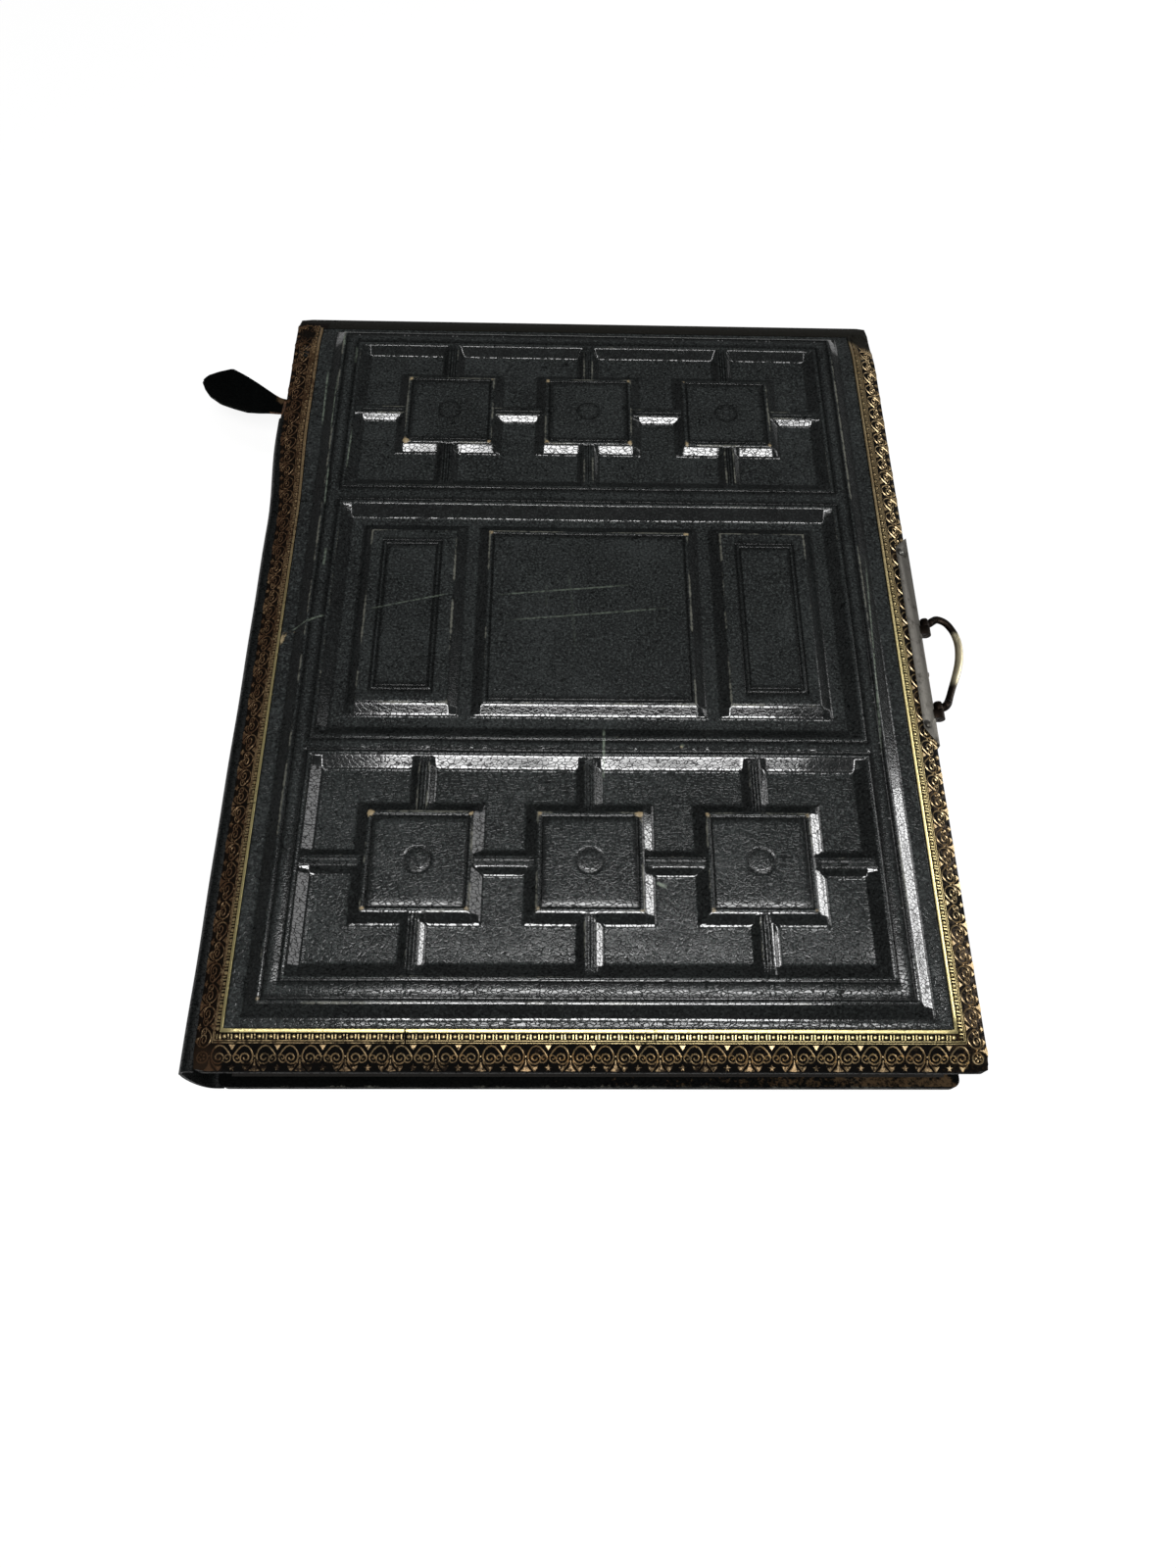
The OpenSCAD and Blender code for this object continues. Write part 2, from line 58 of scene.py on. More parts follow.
# Covers: edges of the boards, of the panelled field, and the main heights
FORE_X, SPINE_X, END_Y = 110, -107.9, 145
FIELD_X, FIELD_LEFT, FIELD_Y = 100, -99.4, 134
COVER_Z, RIM_Z, BAND_Z, TOP_Z, SUNK_Z = 27.5, 30.0, 34.2, 37.0, 34.5
BACK_Z = 6
GILT_RISE = BAND_Z - RIM_Z

# Raised frame, sunk panels, raised squares and ribs
FRAME_FOOT = (95.3, 131.7)
FRAME_TOP = (91.3, 127.8)
PIT_X = 84.6
PITS = ((-120.3, -51.6), (-45.1, 45.1), (53.2, 120.3))
PIT_RUN = 4
FAR_WALL_RUNS = (4, 5, 4.4)
SQUARE_ROWS = (-85.95, 88.2)
SQUARE_COLUMNS = (-50, 0, 50)
SQUARE_FOOT = 19
BOSS_RUN = 3.6
RIB_FOOT, RIB_TOP, RIB_DROP = 3.8, 1.5, 0.4
MIDDLE_Y = 37.1
CENTRE_X = 37
SIDE_PANEL = (41, 76.6)
FRAME_RUN = 4
RIB_END_RUN, RIB_INTO_WALL = 1.6, 0.6
# How softly the leather bends: at a block's top and foot, at a sunk panel's floor and mouth,
# and where the border begins
TOP_SOFT, FOOT_SOFT, FLOOR_SOFT, MOUTH_SOFT, BORDER_SOFT = 0.45, 0.55, 0.5, 0.4, 0.2

# The covers' rounded corners and the pebbles of the leather's grain
CORNER_R = 2.5
PEBBLE, GRAIN_DEPTH = 1.2, 0.014

# Blind tooling: distances of the tooled lines from the edges they follow
LINE_BESIDE_PIT = 1.3
LINE_BESIDE_FRAME = 1.2
LINE_ON_SQUARE = 1.3
RING_R = 3.9
SIDE_TOOLED = ((49.5, 69, 29), (50.9, 67.6, 27.6))
RIB_LINES = (-0.95, 0, 0.95)
# Depth and width of a tooled line round a rectangle, of a ring, of the ring inside it, and
# of the lines on a rib
BOX_LINE, RING_LINE, INNER_RING_LINE, RIB_LINE = (0.24, 0.3), (0.22, 0.3), (0.1, 0.25), (0.26, 0.22)
INNER_RING = RING_R - 0.8

# How handling has bent the front cover: by how much, from which Y on and over what length
CORNER_SPREAD = ((3.4, 42, 42), (1, 116, 20))
END_BENT = ((2.6, 119, 17), (0.6, 134, 11))
END_DRAWN_IN = ((1.6, 122, 26),)

random.seed(11)


def deselect():
    bpy.ops.object.select_all(action="DESELECT")


def only(piece):
    """Makes this piece the one selected and active object."""
    deselect()
    piece.select_set(True)
    bpy.context.view_layer.objects.active = piece


def named(name):
    piece = bpy.context.object
    piece.name = piece.data.name = name
    return piece


def edit(piece, mode="VERT"):
    only(piece)
    bpy.ops.object.mode_set(mode="EDIT")
    bpy.ops.mesh.select_mode(type=mode)


def done():
    bpy.ops.object.mode_set(mode="OBJECT")


def settle(piece):
    """Puts a piece's place into its mesh, so that its object sits at the origin."""
    only(piece)
    bpy.ops.object.transform_apply(location=True, rotation=True, scale=True)
    return piece


def modify(piece, kind, **settings):
    """Adds a modifier with its settings and applies it."""
    only(piece)
    modifier = piece.modifiers.new(kind.lower(), kind)
    for key, value in settings.items():
        setattr(modifier, key, value)
    bpy.ops.object.modifier_apply(modifier=modifier.name)
    return piece


def smooth(piece, degrees=40):
    only(piece)
    bpy.ops.object.shade_smooth_by_angle(angle=math.radians(degrees))
    return piece


def join(pieces, name):
    deselect()
    for piece in pieces:
        piece.select_set(True)
    bpy.context.view_layer.objects.active = pieces[0]
    if len(pieces) > 1:
        bpy.ops.object.join()
    return named(name)


def pick(piece, test, mode="FACE"):
    """Selects faces by their centre and normal, or edges by their two ends, for edit mode."""
    only(piece)
    mesh = piece.data
    for element in (*mesh.vertices, *mesh.edges, *mesh.polygons):
        element.select = False
    if mode == "FACE":
        for face in mesh.polygons:
            face.select = test(face.center / MM, face.normal)
    else:
        for edge in mesh.edges:
            edge.select = test(*(mesh.vertices[v].co / MM for v in edge.vertices))
    bpy.ops.object.mode_set(mode="EDIT")
    bpy.ops.mesh.select_mode(type=mode)


def round_edges(piece, width, segments=2, degrees=50):
    """Rounds the edges that are sharper than an angle."""
    return modify(piece, "BEVEL", width=width * MM, segments=segments, limit_method="ANGLE",
                  angle_limit=math.radians(degrees))


def block(name, centre, size):
    """A cuboid with its centre and its size in millimetres."""
    deselect()
    bpy.ops.mesh.primitive_cube_add(size=MM, location=[part * MM for part in centre])
    piece = named(name)
    piece.scale = size
    return settle(piece)


def drawn_bar(name, points, radii, roundness=0, closed=False, capped=False):
    """A bar of even or uneven thickness drawn through points, as a mesh."""
    curve = bpy.data.curves.new(name, "CURVE")
    curve.dimensions = "3D"
    curve.bevel_depth = MM
    curve.bevel_resolution = roundness
    curve.use_fill_caps = capped
    spline = curve.splines.new("POLY")
    spline.points.add(len(points) - 1)
    spline.use_cyclic_u = closed
    for point, (x, y, z), radius in zip(spline.points, points, radii):
        point.co = (x * MM, y * MM, z * MM, 1)
        point.radius = radius
    bar = bpy.data.objects.new(name, curve)
    bpy.context.collection.objects.link(bar)
    only(bar)
    bpy.ops.object.convert(target="MESH")
    return bpy.context.object


def coordinates(piece):
    """A piece's vertices as rows of millimetres."""
    flat = np.empty(len(piece.data.vertices) * 3)
    piece.data.vertices.foreach_get("co", flat)
    return flat.reshape(-1, 3) / MM


def place_vertices(piece, rows):
    piece.data.vertices.foreach_set("co", (np.asarray(rows) * MM).ravel())
    piece.data.update()


def keep_attribute(piece, name, values):
    """Stores what a material reads: one value for the piece, or one for each vertex."""
    attribute = piece.data.attributes.new(name, "FLOAT", "POINT")
    values = np.broadcast_to(np.asarray(values, dtype=np.float32), len(piece.data.vertices))
    attribute.data.foreach_set("value", np.ascontiguousarray(values))


def ease(share):
    share = np.clip(share, 0, 1)
    return share * share * (3 - 2 * share)


def aging(y, steps):
    return sum(far * ease((y - start) / length) for far, start, length in steps)


def spread(x, y):
    """How far the cover's torn upper left corner has spread out towards the spine."""
    return aging(y, CORNER_SPREAD) * np.clip((-95 - x) / 13, 0, 1)


def aged(rows):
    """The front cover as handling has left it: corners rounded, the head end bent down."""
    x, y, z = np.array(rows, dtype=float).T
    for out, way in ((x - FORE_X + CORNER_R, 1), (SPINE_X + CORNER_R - x, -1)):
        up = np.abs(y) - END_Y + CORNER_R
        away = np.hypot(out, up)
        beyond = (out > 0) & (up > 0) & (away > CORNER_R)
        inwards = 1 - np.where(beyond, CORNER_R / np.maximum(away, CORNER_R), 1)
        x = np.where(beyond, x - way * out * inwards, x)
        y = np.where(beyond, y - np.sign(y) * up * inwards, y)
    bent = (z > COVER_Z + 0.05) | (y > END_Y - 2)
    z = z - bent * aging(y, END_BENT)
    x = x - spread(x, y)
    return np.column_stack([x, y - aging(y, END_DRAWN_IN), z])


def sheet_grid(name, columns, rows):
    """A grid primitive and the column and row that each of its vertices is in."""
    deselect()
    bpy.ops.mesh.primitive_grid_add(x_subdivisions=columns - 1, y_subdivisions=rows - 1, size=2 * MM)
    piece = named(name)
    at = coordinates(piece)
    column = np.rint((at[:, 0] + 1) / 2 * (columns - 1)).astype(int)
    row = np.rint((at[:, 1] + 1) / 2 * (rows - 1)).astype(int)
    return piece, column, row


# Materials


def linear(colour):
    """An sRGB hex colour as linear red, green, blue and alpha."""
    parts = [int(colour[i:i + 2], 16) / 255 for i in (1, 3, 5)]
    return [p / 12.92 if p <= 0.04045 else ((p + 0.055) / 1.055) ** 2.4 for p in parts] + [1]


# How the album's nodes of a kind are set unless a material says otherwise
USUAL = {"Math": ("operation", "MULTIPLY"), "Mix": ("data_type", "RGBA"),
         "MapRange": ("interpolation_type", "SMOOTHSTEP")}


def add_node(tree, kind, *inputs, out=None, **words):
    """Adds a node with its settings, which are the words in small letters. Its inputs are
    filled in their order or by their names, with values, sRGB colours or other nodes'
    outputs. Gives the node's first output or a named one."""
    made = tree.nodes.new("ShaderNode" + kind)
    if kind in USUAL:
        setattr(made, *USUAL[kind])
    for word in [word for word in words if word.islower()]:
        setattr(made, word, words.pop(word))
    fed = list(zip([socket for socket in made.inputs if socket.enabled], inputs))
    fed += [(made.inputs[word.replace("_", " ")], value) for word, value in words.items()]
    for socket, value in fed:
        if isinstance(value, bpy.types.NodeSocket):
            tree.links.new(value, socket)
        else:
            socket.default_value = linear(value) if isinstance(value, str) else value
    if out:
        return made.outputs[out]
    return next((socket for socket in made.outputs if socket.enabled), None)


def fresh_nodes(owner):
    """Clears the nodes of a material or the world, and gives what adds new ones."""
    owner.use_nodes = True
    owner.node_tree.nodes.clear()
    return functools.partial(add_node, owner.node_tree)


def per_metre(millimetres):
    """A texture's scale for a feature of this size."""
    return 1000 / millimetres


def grain(add, where, pebble):
    """Height of a pebbled leather grain: rounded pebbles, wider than long, with creases between."""
    drift = add("TexNoise", where, per_metre(pebble * 2.5), 2, out="Color")
    shifted = add("VectorMath", drift, (pebble * MM,) * 3, where, operation="MULTIPLY_ADD")
    squeezed = add("Mapping", shifted, Rotation=(0, 0, math.radians(-16)), Scale=(0.68, 1.25, 1.0))
    cells = add("TexVoronoi", squeezed, per_metre(pebble), feature="DISTANCE_TO_EDGE")
    pebbles = add("MapRange", cells, 0.0, 0.13)
    fine = add("TexNoise", where, per_metre(pebble * 1.1), 3, 0.55)
    return add("Math", fine, 0.3, pebbles, operation="MULTIPLY_ADD"), pebbles


def scratch(add, where, start, end, width):
    """Share of a thin straight scratch between two points of the cover, in millimetres."""
    (x0, y0), (x1, y1) = start, end
    length, turn = math.hypot(x1 - x0, y1 - y0), math.atan2(y1 - y0, x1 - x0)
    place = add("Mapping", where, ((x0 + x1) / 2 * MM, (y0 + y1) / 2 * MM, 0), (0, 0, turn),
                (length / 2 * MM, width / 2 * MM, 1), vector_type="TEXTURE")
    along, across, _ = add("SeparateXYZ", place).node.outputs
    side = add("MapRange", add("Math", across, operation="ABSOLUTE"), 0.3, 1.0, 1.0, 0.0)
    ends = add("MapRange", add("Math", along, operation="ABSOLUTE"), 0.6, 1.0, 1.0, 0.0)
    return add("Math", side, ends)


def morocco(name, dark, pale, worn, pale_grain, gloss, satin, scratches_and_painted_highlights=()):
    """Goatskin dyed blue-black and pressed with a pebbled grain: a satin surface whose
    pebbles catch small lights, rubbed paler along raised edges, where the pale line is partly a
    painted highlight, and tan at the corners. Its creases, slopes and tooled lines are painted
    darker as shade."""
    material = bpy.data.materials.new(name)
    add = fresh_nodes(material)
    where = add("TexCoord", out="Object")
    pressed, tooled, edge, rub = (add("Attribute", attribute_name=mark, out="Fac")
                                  for mark in ("pressed", "tooled", "edge", "rub"))
    cloudy = add("TexNoise", where, per_metre(22), 4, 0.6)
    patchy = add("TexNoise", where, per_metre(14), 2, 0.55)
    mottled = add("TexNoise", where, per_metre(2.4), 3, 0.55)
    broken = add("TexNoise", where, per_metre(1.3), 3, 0.7)
    height, pebbles = grain(add, where, PEBBLE)
    # The dye, with painted shade: darker in the creases, on the slopes and in the tooled lines
    colour = add("Mix", add("MapRange", cloudy, 0.32, 0.7), dark, pale)
    colour = add("Mix", add("MapRange", pebbles, 0.0, 0.6, 0.9, 0.0), colour, "#050606")
    specks = add("TexNoise", where, per_metre(0.75), 2, 0.55)
    colour = add("Mix", add("MapRange", specks, 0.48, 0.7, 0.0, 0.7), colour, pale_grain)
    colour = add("Mix", add("MapRange", pressed, 0.3, 0.9, 0.0, 0.6), colour, "#080909")
    colour = add("Mix", add("Math", tooled, 0.8), colour, "#030404")
    # Wear: edges rubbed grey, where the pale line on the raised edges is partly a painted
    # highlight, corners rubbed through, and scratches, with painted highlights among them
    edge = add("Math", edge, add("MapRange", patchy, 0.35, 0.62, 0.1, 1.0))
    edge = add("MapRange", add("Math", edge, broken), 0.24, 0.5)
    colour = add("Mix", add("Math", edge, 0.62), colour, "#7d7d73")
    rub = add("Math", broken, 0.9, rub, operation="MULTIPLY_ADD")
    rub = add("Math", mottled, 0.5, rub, operation="MULTIPLY_ADD")
    rub = add("MapRange", rub, 1.12, 1.42)
    colour = add("Mix", rub, colour, worn)
    # Scratches in pale grey-green; the streaks along the left frame's edges are painted highlights
    if scratches_and_painted_highlights:
        marks = 0.0
        for start, end, width, share in scratches_and_painted_highlights:
            one = add("Math", scratch(add, where, start, end, width), share)
            marks = add("Math", marks, one, operation="MAXIMUM")
        marks = add("Math", marks, add("MapRange", broken, 0.35, 0.62, 0.1, 0.85))
        colour = add("Mix", marks, colour, "#7f8a7c")
    # The grain is flatter where the leather is worn or stretched over a slope
    smoothed = add("Math", edge, 0.4, rub, operation="MULTIPLY_ADD", use_clamp=True)
    for share in (smoothed, pressed):
        height = add("Math", height, add("MapRange", share, 0.0, 1.0, 1.0, 0.35))
    waves = add("TexNoise", where, per_metre(9), 2, 0.55)
    normal = add("Bump", Height=waves, Distance=0.05 * MM)
    normal = add("Bump", Height=height, Distance=GRAIN_DEPTH * MM, Normal=normal)
    roughness = add("MapRange", mottled, 0.3, 0.75, *satin)
    roughness = add("Math", rub, 0.3, roughness, operation="MULTIPLY_ADD")
    roughness = add("Math", roughness, add("MapRange", pebbles, 0.0, 0.5, 0.25, 0.0), operation="ADD")
    roughness = add("Math", tooled, 0.25, roughness, operation="MULTIPLY_ADD")
    roughness = add("Math", roughness, add("MapRange", pressed, 0.0, 1.0, 1.0, 0.7))
    shine = add("MapRange", pebbles, 0.2, 0.7, gloss * 0.2, gloss)
    shine = add("Math", shine, add("MapRange", tooled, 0.0, 1.0, 1.0, 0.3))
    add("OutputMaterial", add("BsdfPrincipled", Base_Color=colour, Roughness=roughness, IOR=1.5,
                              Normal=normal, Specular_IOR_Level=shine))
    return material


# Places where the gilding is cracked across: from, to and width
SEAMS = (((-50.5, -132.5), (-50.2, -139.5), 0.7), ((-109, -66.6), (-98.5, -67.2), 0.8))


def worn_gilding(name, gold, tarnish, ground, browned_leather, metal_share, threshold):
    """Gold leaf stamped into leather with a hot tool: thin metal, bright at the fore-edge
    and the tail, where more of it is kept and where it is also painted brighter as lit, dimmer and
    browned towards the spine, and rubbed off down to the leather at the head. Its raised lines
    carry a painted highlight."""
    material = bpy.data.materials.new(name)
    add = fresh_nodes(material)
    where = add("TexCoord", out="Object")
    x, y, _ = add("SeparateXYZ", where).node.outputs
    polish, bare = (add("Attribute", attribute_name=mark, out="Fac") for mark in ("polish", "bare"))
    flaky = add("TexNoise", where, per_metre(1.1), 5, 0.7)
    patchy = add("TexNoise", where, per_metre(13), 3, 0.55)
    # How well the gold is kept: at the fore-edge, at the tail and on the raised lines. This also
    # paints the gold brighter at the fore-edge and the tail, and dimmer towards the spine, as the
    # light falls there. The nodes read places in metres
    kept = add("Math", add("MapRange", x, 0.09, 0.1, 0.22, 1.0),
               add("MapRange", y, -0.1, 0.12, 1.0, 0.9))
    tail = add("Math", add("MapRange", y, -0.1345, -0.133, 1.0, 0.0),
               add("MapRange", x, -0.104, 0.08, 0.5, 0.88))
    tail = add("Math", tail, add("MapRange", y, -0.1435, -0.1415, 0.5, 1.0))
    kept = add("Math", kept, tail, operation="MAXIMUM")
    raised = add("Math", polish, add("MapRange", y, -0.1, 0.12, 0.85, 0.5))
    kept = add("Math", kept, raised, operation="MAXIMUM")
    # Where there is gold at all: not at the head, the rubbed corner, the cracks and the torn edge
    browned = add("MapRange", x, -0.1, -0.0992, 1.0, 0.0)
    gilt = add("Math", add("Math", browned, 0.85), add("MapRange", y, 0.137, 0.142, 1.0, 0.0))
    gilt = add("Math", gilt, add("MapRange", y, 0.125, 0.131, 1.0, 0.0), operation="MAXIMUM")
    corner = add("VectorMath", where, (-0.106, -0.143, 0.031), operation="DISTANCE")
    corner = add("MapRange", corner, 0.002, 0.008, 0.3, 0.0)
    left = add("Math", patchy, 0.5, flaky, operation="MULTIPLY_ADD")
    left = add("Math", kept, 0.45, left, operation="MULTIPLY_ADD")
    left = add("Math", left, corner, operation="SUBTRACT")
    left = add("Math", add("MapRange", left, threshold, threshold + 0.28), gilt)
    seam = 0.0
    for start, end, width in SEAMS:
        seam = add("Math", seam, scratch(add, where, start, end, width), operation="MAXIMUM")
    left = add("Math", left, add("Math", 1.0, seam, operation="SUBTRACT"))
    left = add("Math", left, add("MapRange", bare, 0.0, 1.0, 1.0, 0.0))
    # The gold, tarnished in patches, and on the raised lines polished and painted with a pale
    # highlight that is strongest towards the tail and the fore-edge, over the leather
    metal = add("Mix", kept, tarnish, gold)
    metal = add("Mix", add("MapRange", patchy, 0.35, 0.65, 0.0, 0.5), metal, tarnish)
    polish = add("Math", polish, add("MapRange", kept, 0.4, 0.9))
    polish = add("Math", polish, add("MapRange", y, -0.03, 0.06, 1.0, 0.1))
    metal = add("Mix", add("Math", polish, 0.7), metal, "#efe2a0")
    plain = add("Mix", gilt, "#1d1c18", ground)
    plain = add("Mix", add("Math", browned, gilt), plain, browned_leather)
    plain = add("Mix", add("MapRange", corner, 0.05, 0.3, 0.0, 0.4), plain, "#33261b")
    plain = add("Mix", seam, plain, "#050404")
    roughness = add("Math", add("MapRange", flaky, 0.3, 0.7, 0.28, 0.42),
                    add("MapRange", left, 0.0, 0.6, 0.4, 0.0), operation="ADD")
    dents = add("TexNoise", where, per_metre(0.8), 3, 0.55)
    add("OutputMaterial", add(
        "BsdfPrincipled", Base_Color=add("Mix", left, plain, metal), Roughness=roughness,
        Metallic=add("Math", left, add("MapRange", kept, 0.2, 0.8, metal_share * 0.4, metal_share)),
        Normal=add("Bump", Height=dents, Distance=0.05 * MM), Specular_IOR_Level=0.06))
    return material


def raw_hide(name, pale, dark):
    """The flesh side and torn edge of leather: matt brown fibres with no grain."""
    material = bpy.data.materials.new(name)
    add = fresh_nodes(material)
    drawn_out = add("Mapping", add("TexCoord", out="Object"), Scale=(1.0, 0.35, 1.0))
    fibres = add("TexNoise", drawn_out, per_metre(0.9), 5, 0.7)
    colour = add("Mix", add("MapRange", fibres, 0.3, 0.7), dark, pale)
    add("OutputMaterial", add(
        "BsdfPrincipled", Base_Color=colour, Roughness=add("MapRange", fibres, 0.3, 0.7, 0.75, 0.95),
        Normal=add("Bump", Height=fibres, Distance=0.35 * MM)))
    return material


def aged_paper(name, pale, browned, grit, painted_shade_from):
    """Paper or card gone brown with age: matt, faintly clouded, with small rust spots,
    and painted dark as shade from a distance off the middle outwards, where the edges lie in shadow."""
    material = bpy.data.materials.new(name)
    add = fresh_nodes(material)
    where = add("TexCoord", out="Object")
    clouds = add("TexNoise", where, per_metre(30), 4, 0.55)
    fibres = add("TexNoise", where, per_metre(grit), 4, 0.65)
    spots = add("TexNoise", where, per_metre(5), 1, 0.55)
    colour = add("Mix", add("MapRange", clouds, 0.3, 0.75), pale, browned)
    colour = add("Mix", add("Math", add("MapRange", fibres, 0.4, 0.8), 0.25), colour, browned)
    colour = add("Mix", add("Math", add("MapRange", spots, 0.7, 0.78), 0.5), colour, "#8a6a43")
    x, y, _ = add("SeparateXYZ", where).node.outputs
    fore = add("Math", x, (END_Y - FORE_X) * MM, operation="ADD")
    out = add("Math", add("Math", y, operation="ABSOLUTE"), fore, operation="MAXIMUM")
    # Painted shade: the margins go near black, as the shadow between the covers falls on them
    colour = add("Mix", add("MapRange", out, painted_shade_from, painted_shade_from + 0.0016), colour, "#14110e")
    add("OutputMaterial", add(
        "BsdfPrincipled", Base_Color=colour, Roughness=add("MapRange", fibres, 0.3, 0.7, 0.8, 0.95),
        Normal=add("Bump", Height=fibres, Distance=0.05 * MM)))
    return material


def dulled_metal(name, bright, stained, fine_lines, satin, stain_from, rubbed=None, rivets=()):
    """Metal that has lost its polish: finely scratched, with darker stains in patches, grime
    round the rivets, and bright where fingers have kept it rubbed."""
    material = bpy.data.materials.new(name)
    add = fresh_nodes(material)
    where = add("TexCoord", out="Object")
    lines = add("TexNoise", add("Mapping", where, Scale=fine_lines), per_metre(0.5), 4, 0.7)
    stain = add("TexNoise", where, per_metre(3.5), 5, 0.65)
    stain = add("MapRange", stain, stain_from, stain_from + 0.25)
    colour = add("Mix", stain, bright, stained)
    if rubbed:
        edge = add("Attribute", attribute_name="edge", out="Fac")
        colour = add("Mix", add("MapRange", edge, 0.25, 0.8), colour, rubbed)
    for place in rivets:
        away = add("VectorMath", where, place, operation="DISTANCE")
        colour = add("Mix", add("MapRange", away, 0.00135, 0.00175, 0.85, 0.0), colour, "#171513")
    roughness = add("MapRange", lines, 0.3, 0.7, *satin)
    roughness = add("Math", stain, 0.15, roughness, operation="MULTIPLY_ADD")
    add("OutputMaterial", add("BsdfPrincipled", Base_Color=colour, Metallic=1.0, Roughness=roughness,
                              Normal=add("Bump", Height=lines, Distance=0.02 * MM)))
    return material


# Scratches and streaks on the cover: from, to, width and strength. The streaks that run
# lengthwise along the left frame, between X -96.4 and -84.2, are painted highlights on its edges
SCRATCHES_AND_PAINTED_HIGHLIGHTS = (
    ((-32, 7), (15, 12), 0.9, 0.55),
    ((-29, -3), (28, 3), 0.9, 0.5),
    ((-97, -6), (-85, -1), 1.0, 0.75),
    ((-73, 1), (-44, 8), 0.8, 0.5),
    ((-7, 20), (-4, -16), 1.4, 0.1),
    ((-14, 12), (-14, 2), 1.2, 0.14),
    ((4.5, -40.5), (4.2, -59), 1.1, 1.1),
    ((28, -47.6), (29, -48.4), 1.6, 0.9),
    ((-88, 26), (-88, 18), 1.2, 0.6),
    ((-86, 119), (-86, 110), 1.2, 0.6),
    ((19.2, -91.8), (22.6, -93), 1.5, 1.3),
    ((-96.4, 110), (-95.7, 81), 0.9, 0.9),
    ((-91.9, 106), (-91.7, 76), 0.8, 0.8),
    ((-91.8, 126), (-90.8, 119), 1.2, 0.9),
    ((-90.7, 62), (-90.4, 43), 0.7, 0.7),
    ((-84.2, 79), (-84.5, 60), 0.7, 0.7),
    ((94, 27), (89.6, -53), 0.9, 0.75),
)
COVER_LEATHER = morocco("morocco_leather_blue_black", "#202222", "#2f3232", "#a39170", "#4a4f4e",
                        1.0, (0.1, 0.17), SCRATCHES_AND_PAINTED_HIGHLIGHTS)
# A darker, duller copy of the cover's leather: its near-black is painted shade for the back cover's
# edges and the front cover's turned-down rim, which lie in shadow; the torn flap takes it too
BACK_LEATHER = morocco("morocco_leather_back_cover", "#040505", "#080909", "#4a3b2a", "#0c0e0d",
                       0.03, (0.42, 0.55))
JOINT_LEATHER = morocco("morocco_leather_spine_and_joints", "#0a0c0c", "#101212", "#3d3024", "#202322",
                        0.25, (0.4, 0.52))
RAW_HIDE = raw_hide("torn_leather_fibres", "#6b4a30", "#2e2018")
GOLD_LEAF = worn_gilding("gold_leaf_on_relief", "#c2ad86", "#8a6f50", "#1c1510", "#443122", 0.85, 0.8)
GILT_GROUND = worn_gilding("gold_leaf_rubbed_from_ground", "#2c2216", "#4a3826", "#060504", "#130d08",
                           0.15, 1.14)
CARD = aged_paper("aged_card_leaves", "#cabd9e", "#a89370", 0.6, 0.1385)
ENDPAPER = aged_paper("aged_endpaper", "#c0b497", "#a3906c", 0.4, 0.1375)
LINING = aged_paper("glue_stained_lining_card", "#7b5f42", "#4b3726", 0.8, 0.1385)
RIVETS_LOW, RIVETS_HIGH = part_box("clasp_rivets")
RIVET_TOPS = [((RIVETS_LOW.x + RIVETS_HIGH.x) / 2, y, RIVETS_HIGH.z)
              for y in (RIVETS_LOW.y + MM, RIVETS_HIGH.y - MM)]
STEEL = dulled_metal("nickelled_steel_dulled", "#77746e", "#45413b", (1.0, 0.3, 1.0), (0.5, 0.66), 0.5,
                     rivets=RIVET_TOPS)
RIVET_STEEL = dulled_metal("steel_rivets_dulled", "#85847f", "#57534c", (1.0, 1.0, 1.0), (0.35, 0.5),
                           0.45)
BRASS = dulled_metal("brass_tarnished_brown", "#2c2520", "#1a1613", (0.3, 1.0, 1.0), (0.32, 0.48), 0.42,
                     rubbed="#cfc5a6")


def dress(piece, material, body, stands_for=()):
    """Gives a piece its material, its body and the CAD nodes it stands for."""
    if material is not None:
        piece.data.materials.clear()
        piece.data.materials.append(material)
    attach(piece, body)
    if stands_for:
        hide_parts(*stands_for)


# Front cover: one sheet of leather pressed over the board by the dies


def soft_lower(a, b, radius):
    """The lower of two heights with a rounded edge between them, and how near that edge is."""
    h = np.clip(0.5 + 0.5 * (b - a) / radius, 0, 1)
    return b * (1 - h) + a * h - radius * h * (1 - h), 4 * h * (1 - h)


def soft_higher(a, b, radius):
    height, _ = soft_lower(-a, -b, radius)
    return -height


def sides(x, y, box, run):
    """How far a point is inside a box with sloping sides: 0 at its foot, 1 at its top edge."""
    x0, x1, y0, y1 = box
    run_x, run_y = run
    return np.minimum.reduce([(x - x0) / run_x, (x1 - x) / run_x, (y - y0) / run_y, (y1 - y) / run_y])


def raise_block(x, y, height, edge, box, run, foot, top):
    """Presses a raised block out of the leather, and marks its upper edge."""
    slope = foot + (top - foot) * sides(x, y, box, run)
    raised, near = soft_lower(slope, np.full_like(x, top), TOP_SOFT)
    edge = np.where(raised > height, near, edge)
    return soft_higher(height, raised, FOOT_SOFT), edge


def outside(x, y, box):
    """How far a point is outside a rectangle, negative inside it."""
    x0, x1, y0, y1 = box
    return np.maximum(np.abs(x - (x0 + x1) / 2) - (x1 - x0) / 2,
                      np.abs(y - (y0 + y1) / 2) - (y1 - y0) / 2)


def tooled(away, deep, wide):
    """Depth of a blind-tooled line at a distance from its middle."""
    return deep * np.exp(-(away / wide) ** 2)


def squares():
    return [(cx, cy) for cy in SQUARE_ROWS for cx in SQUARE_COLUMNS]


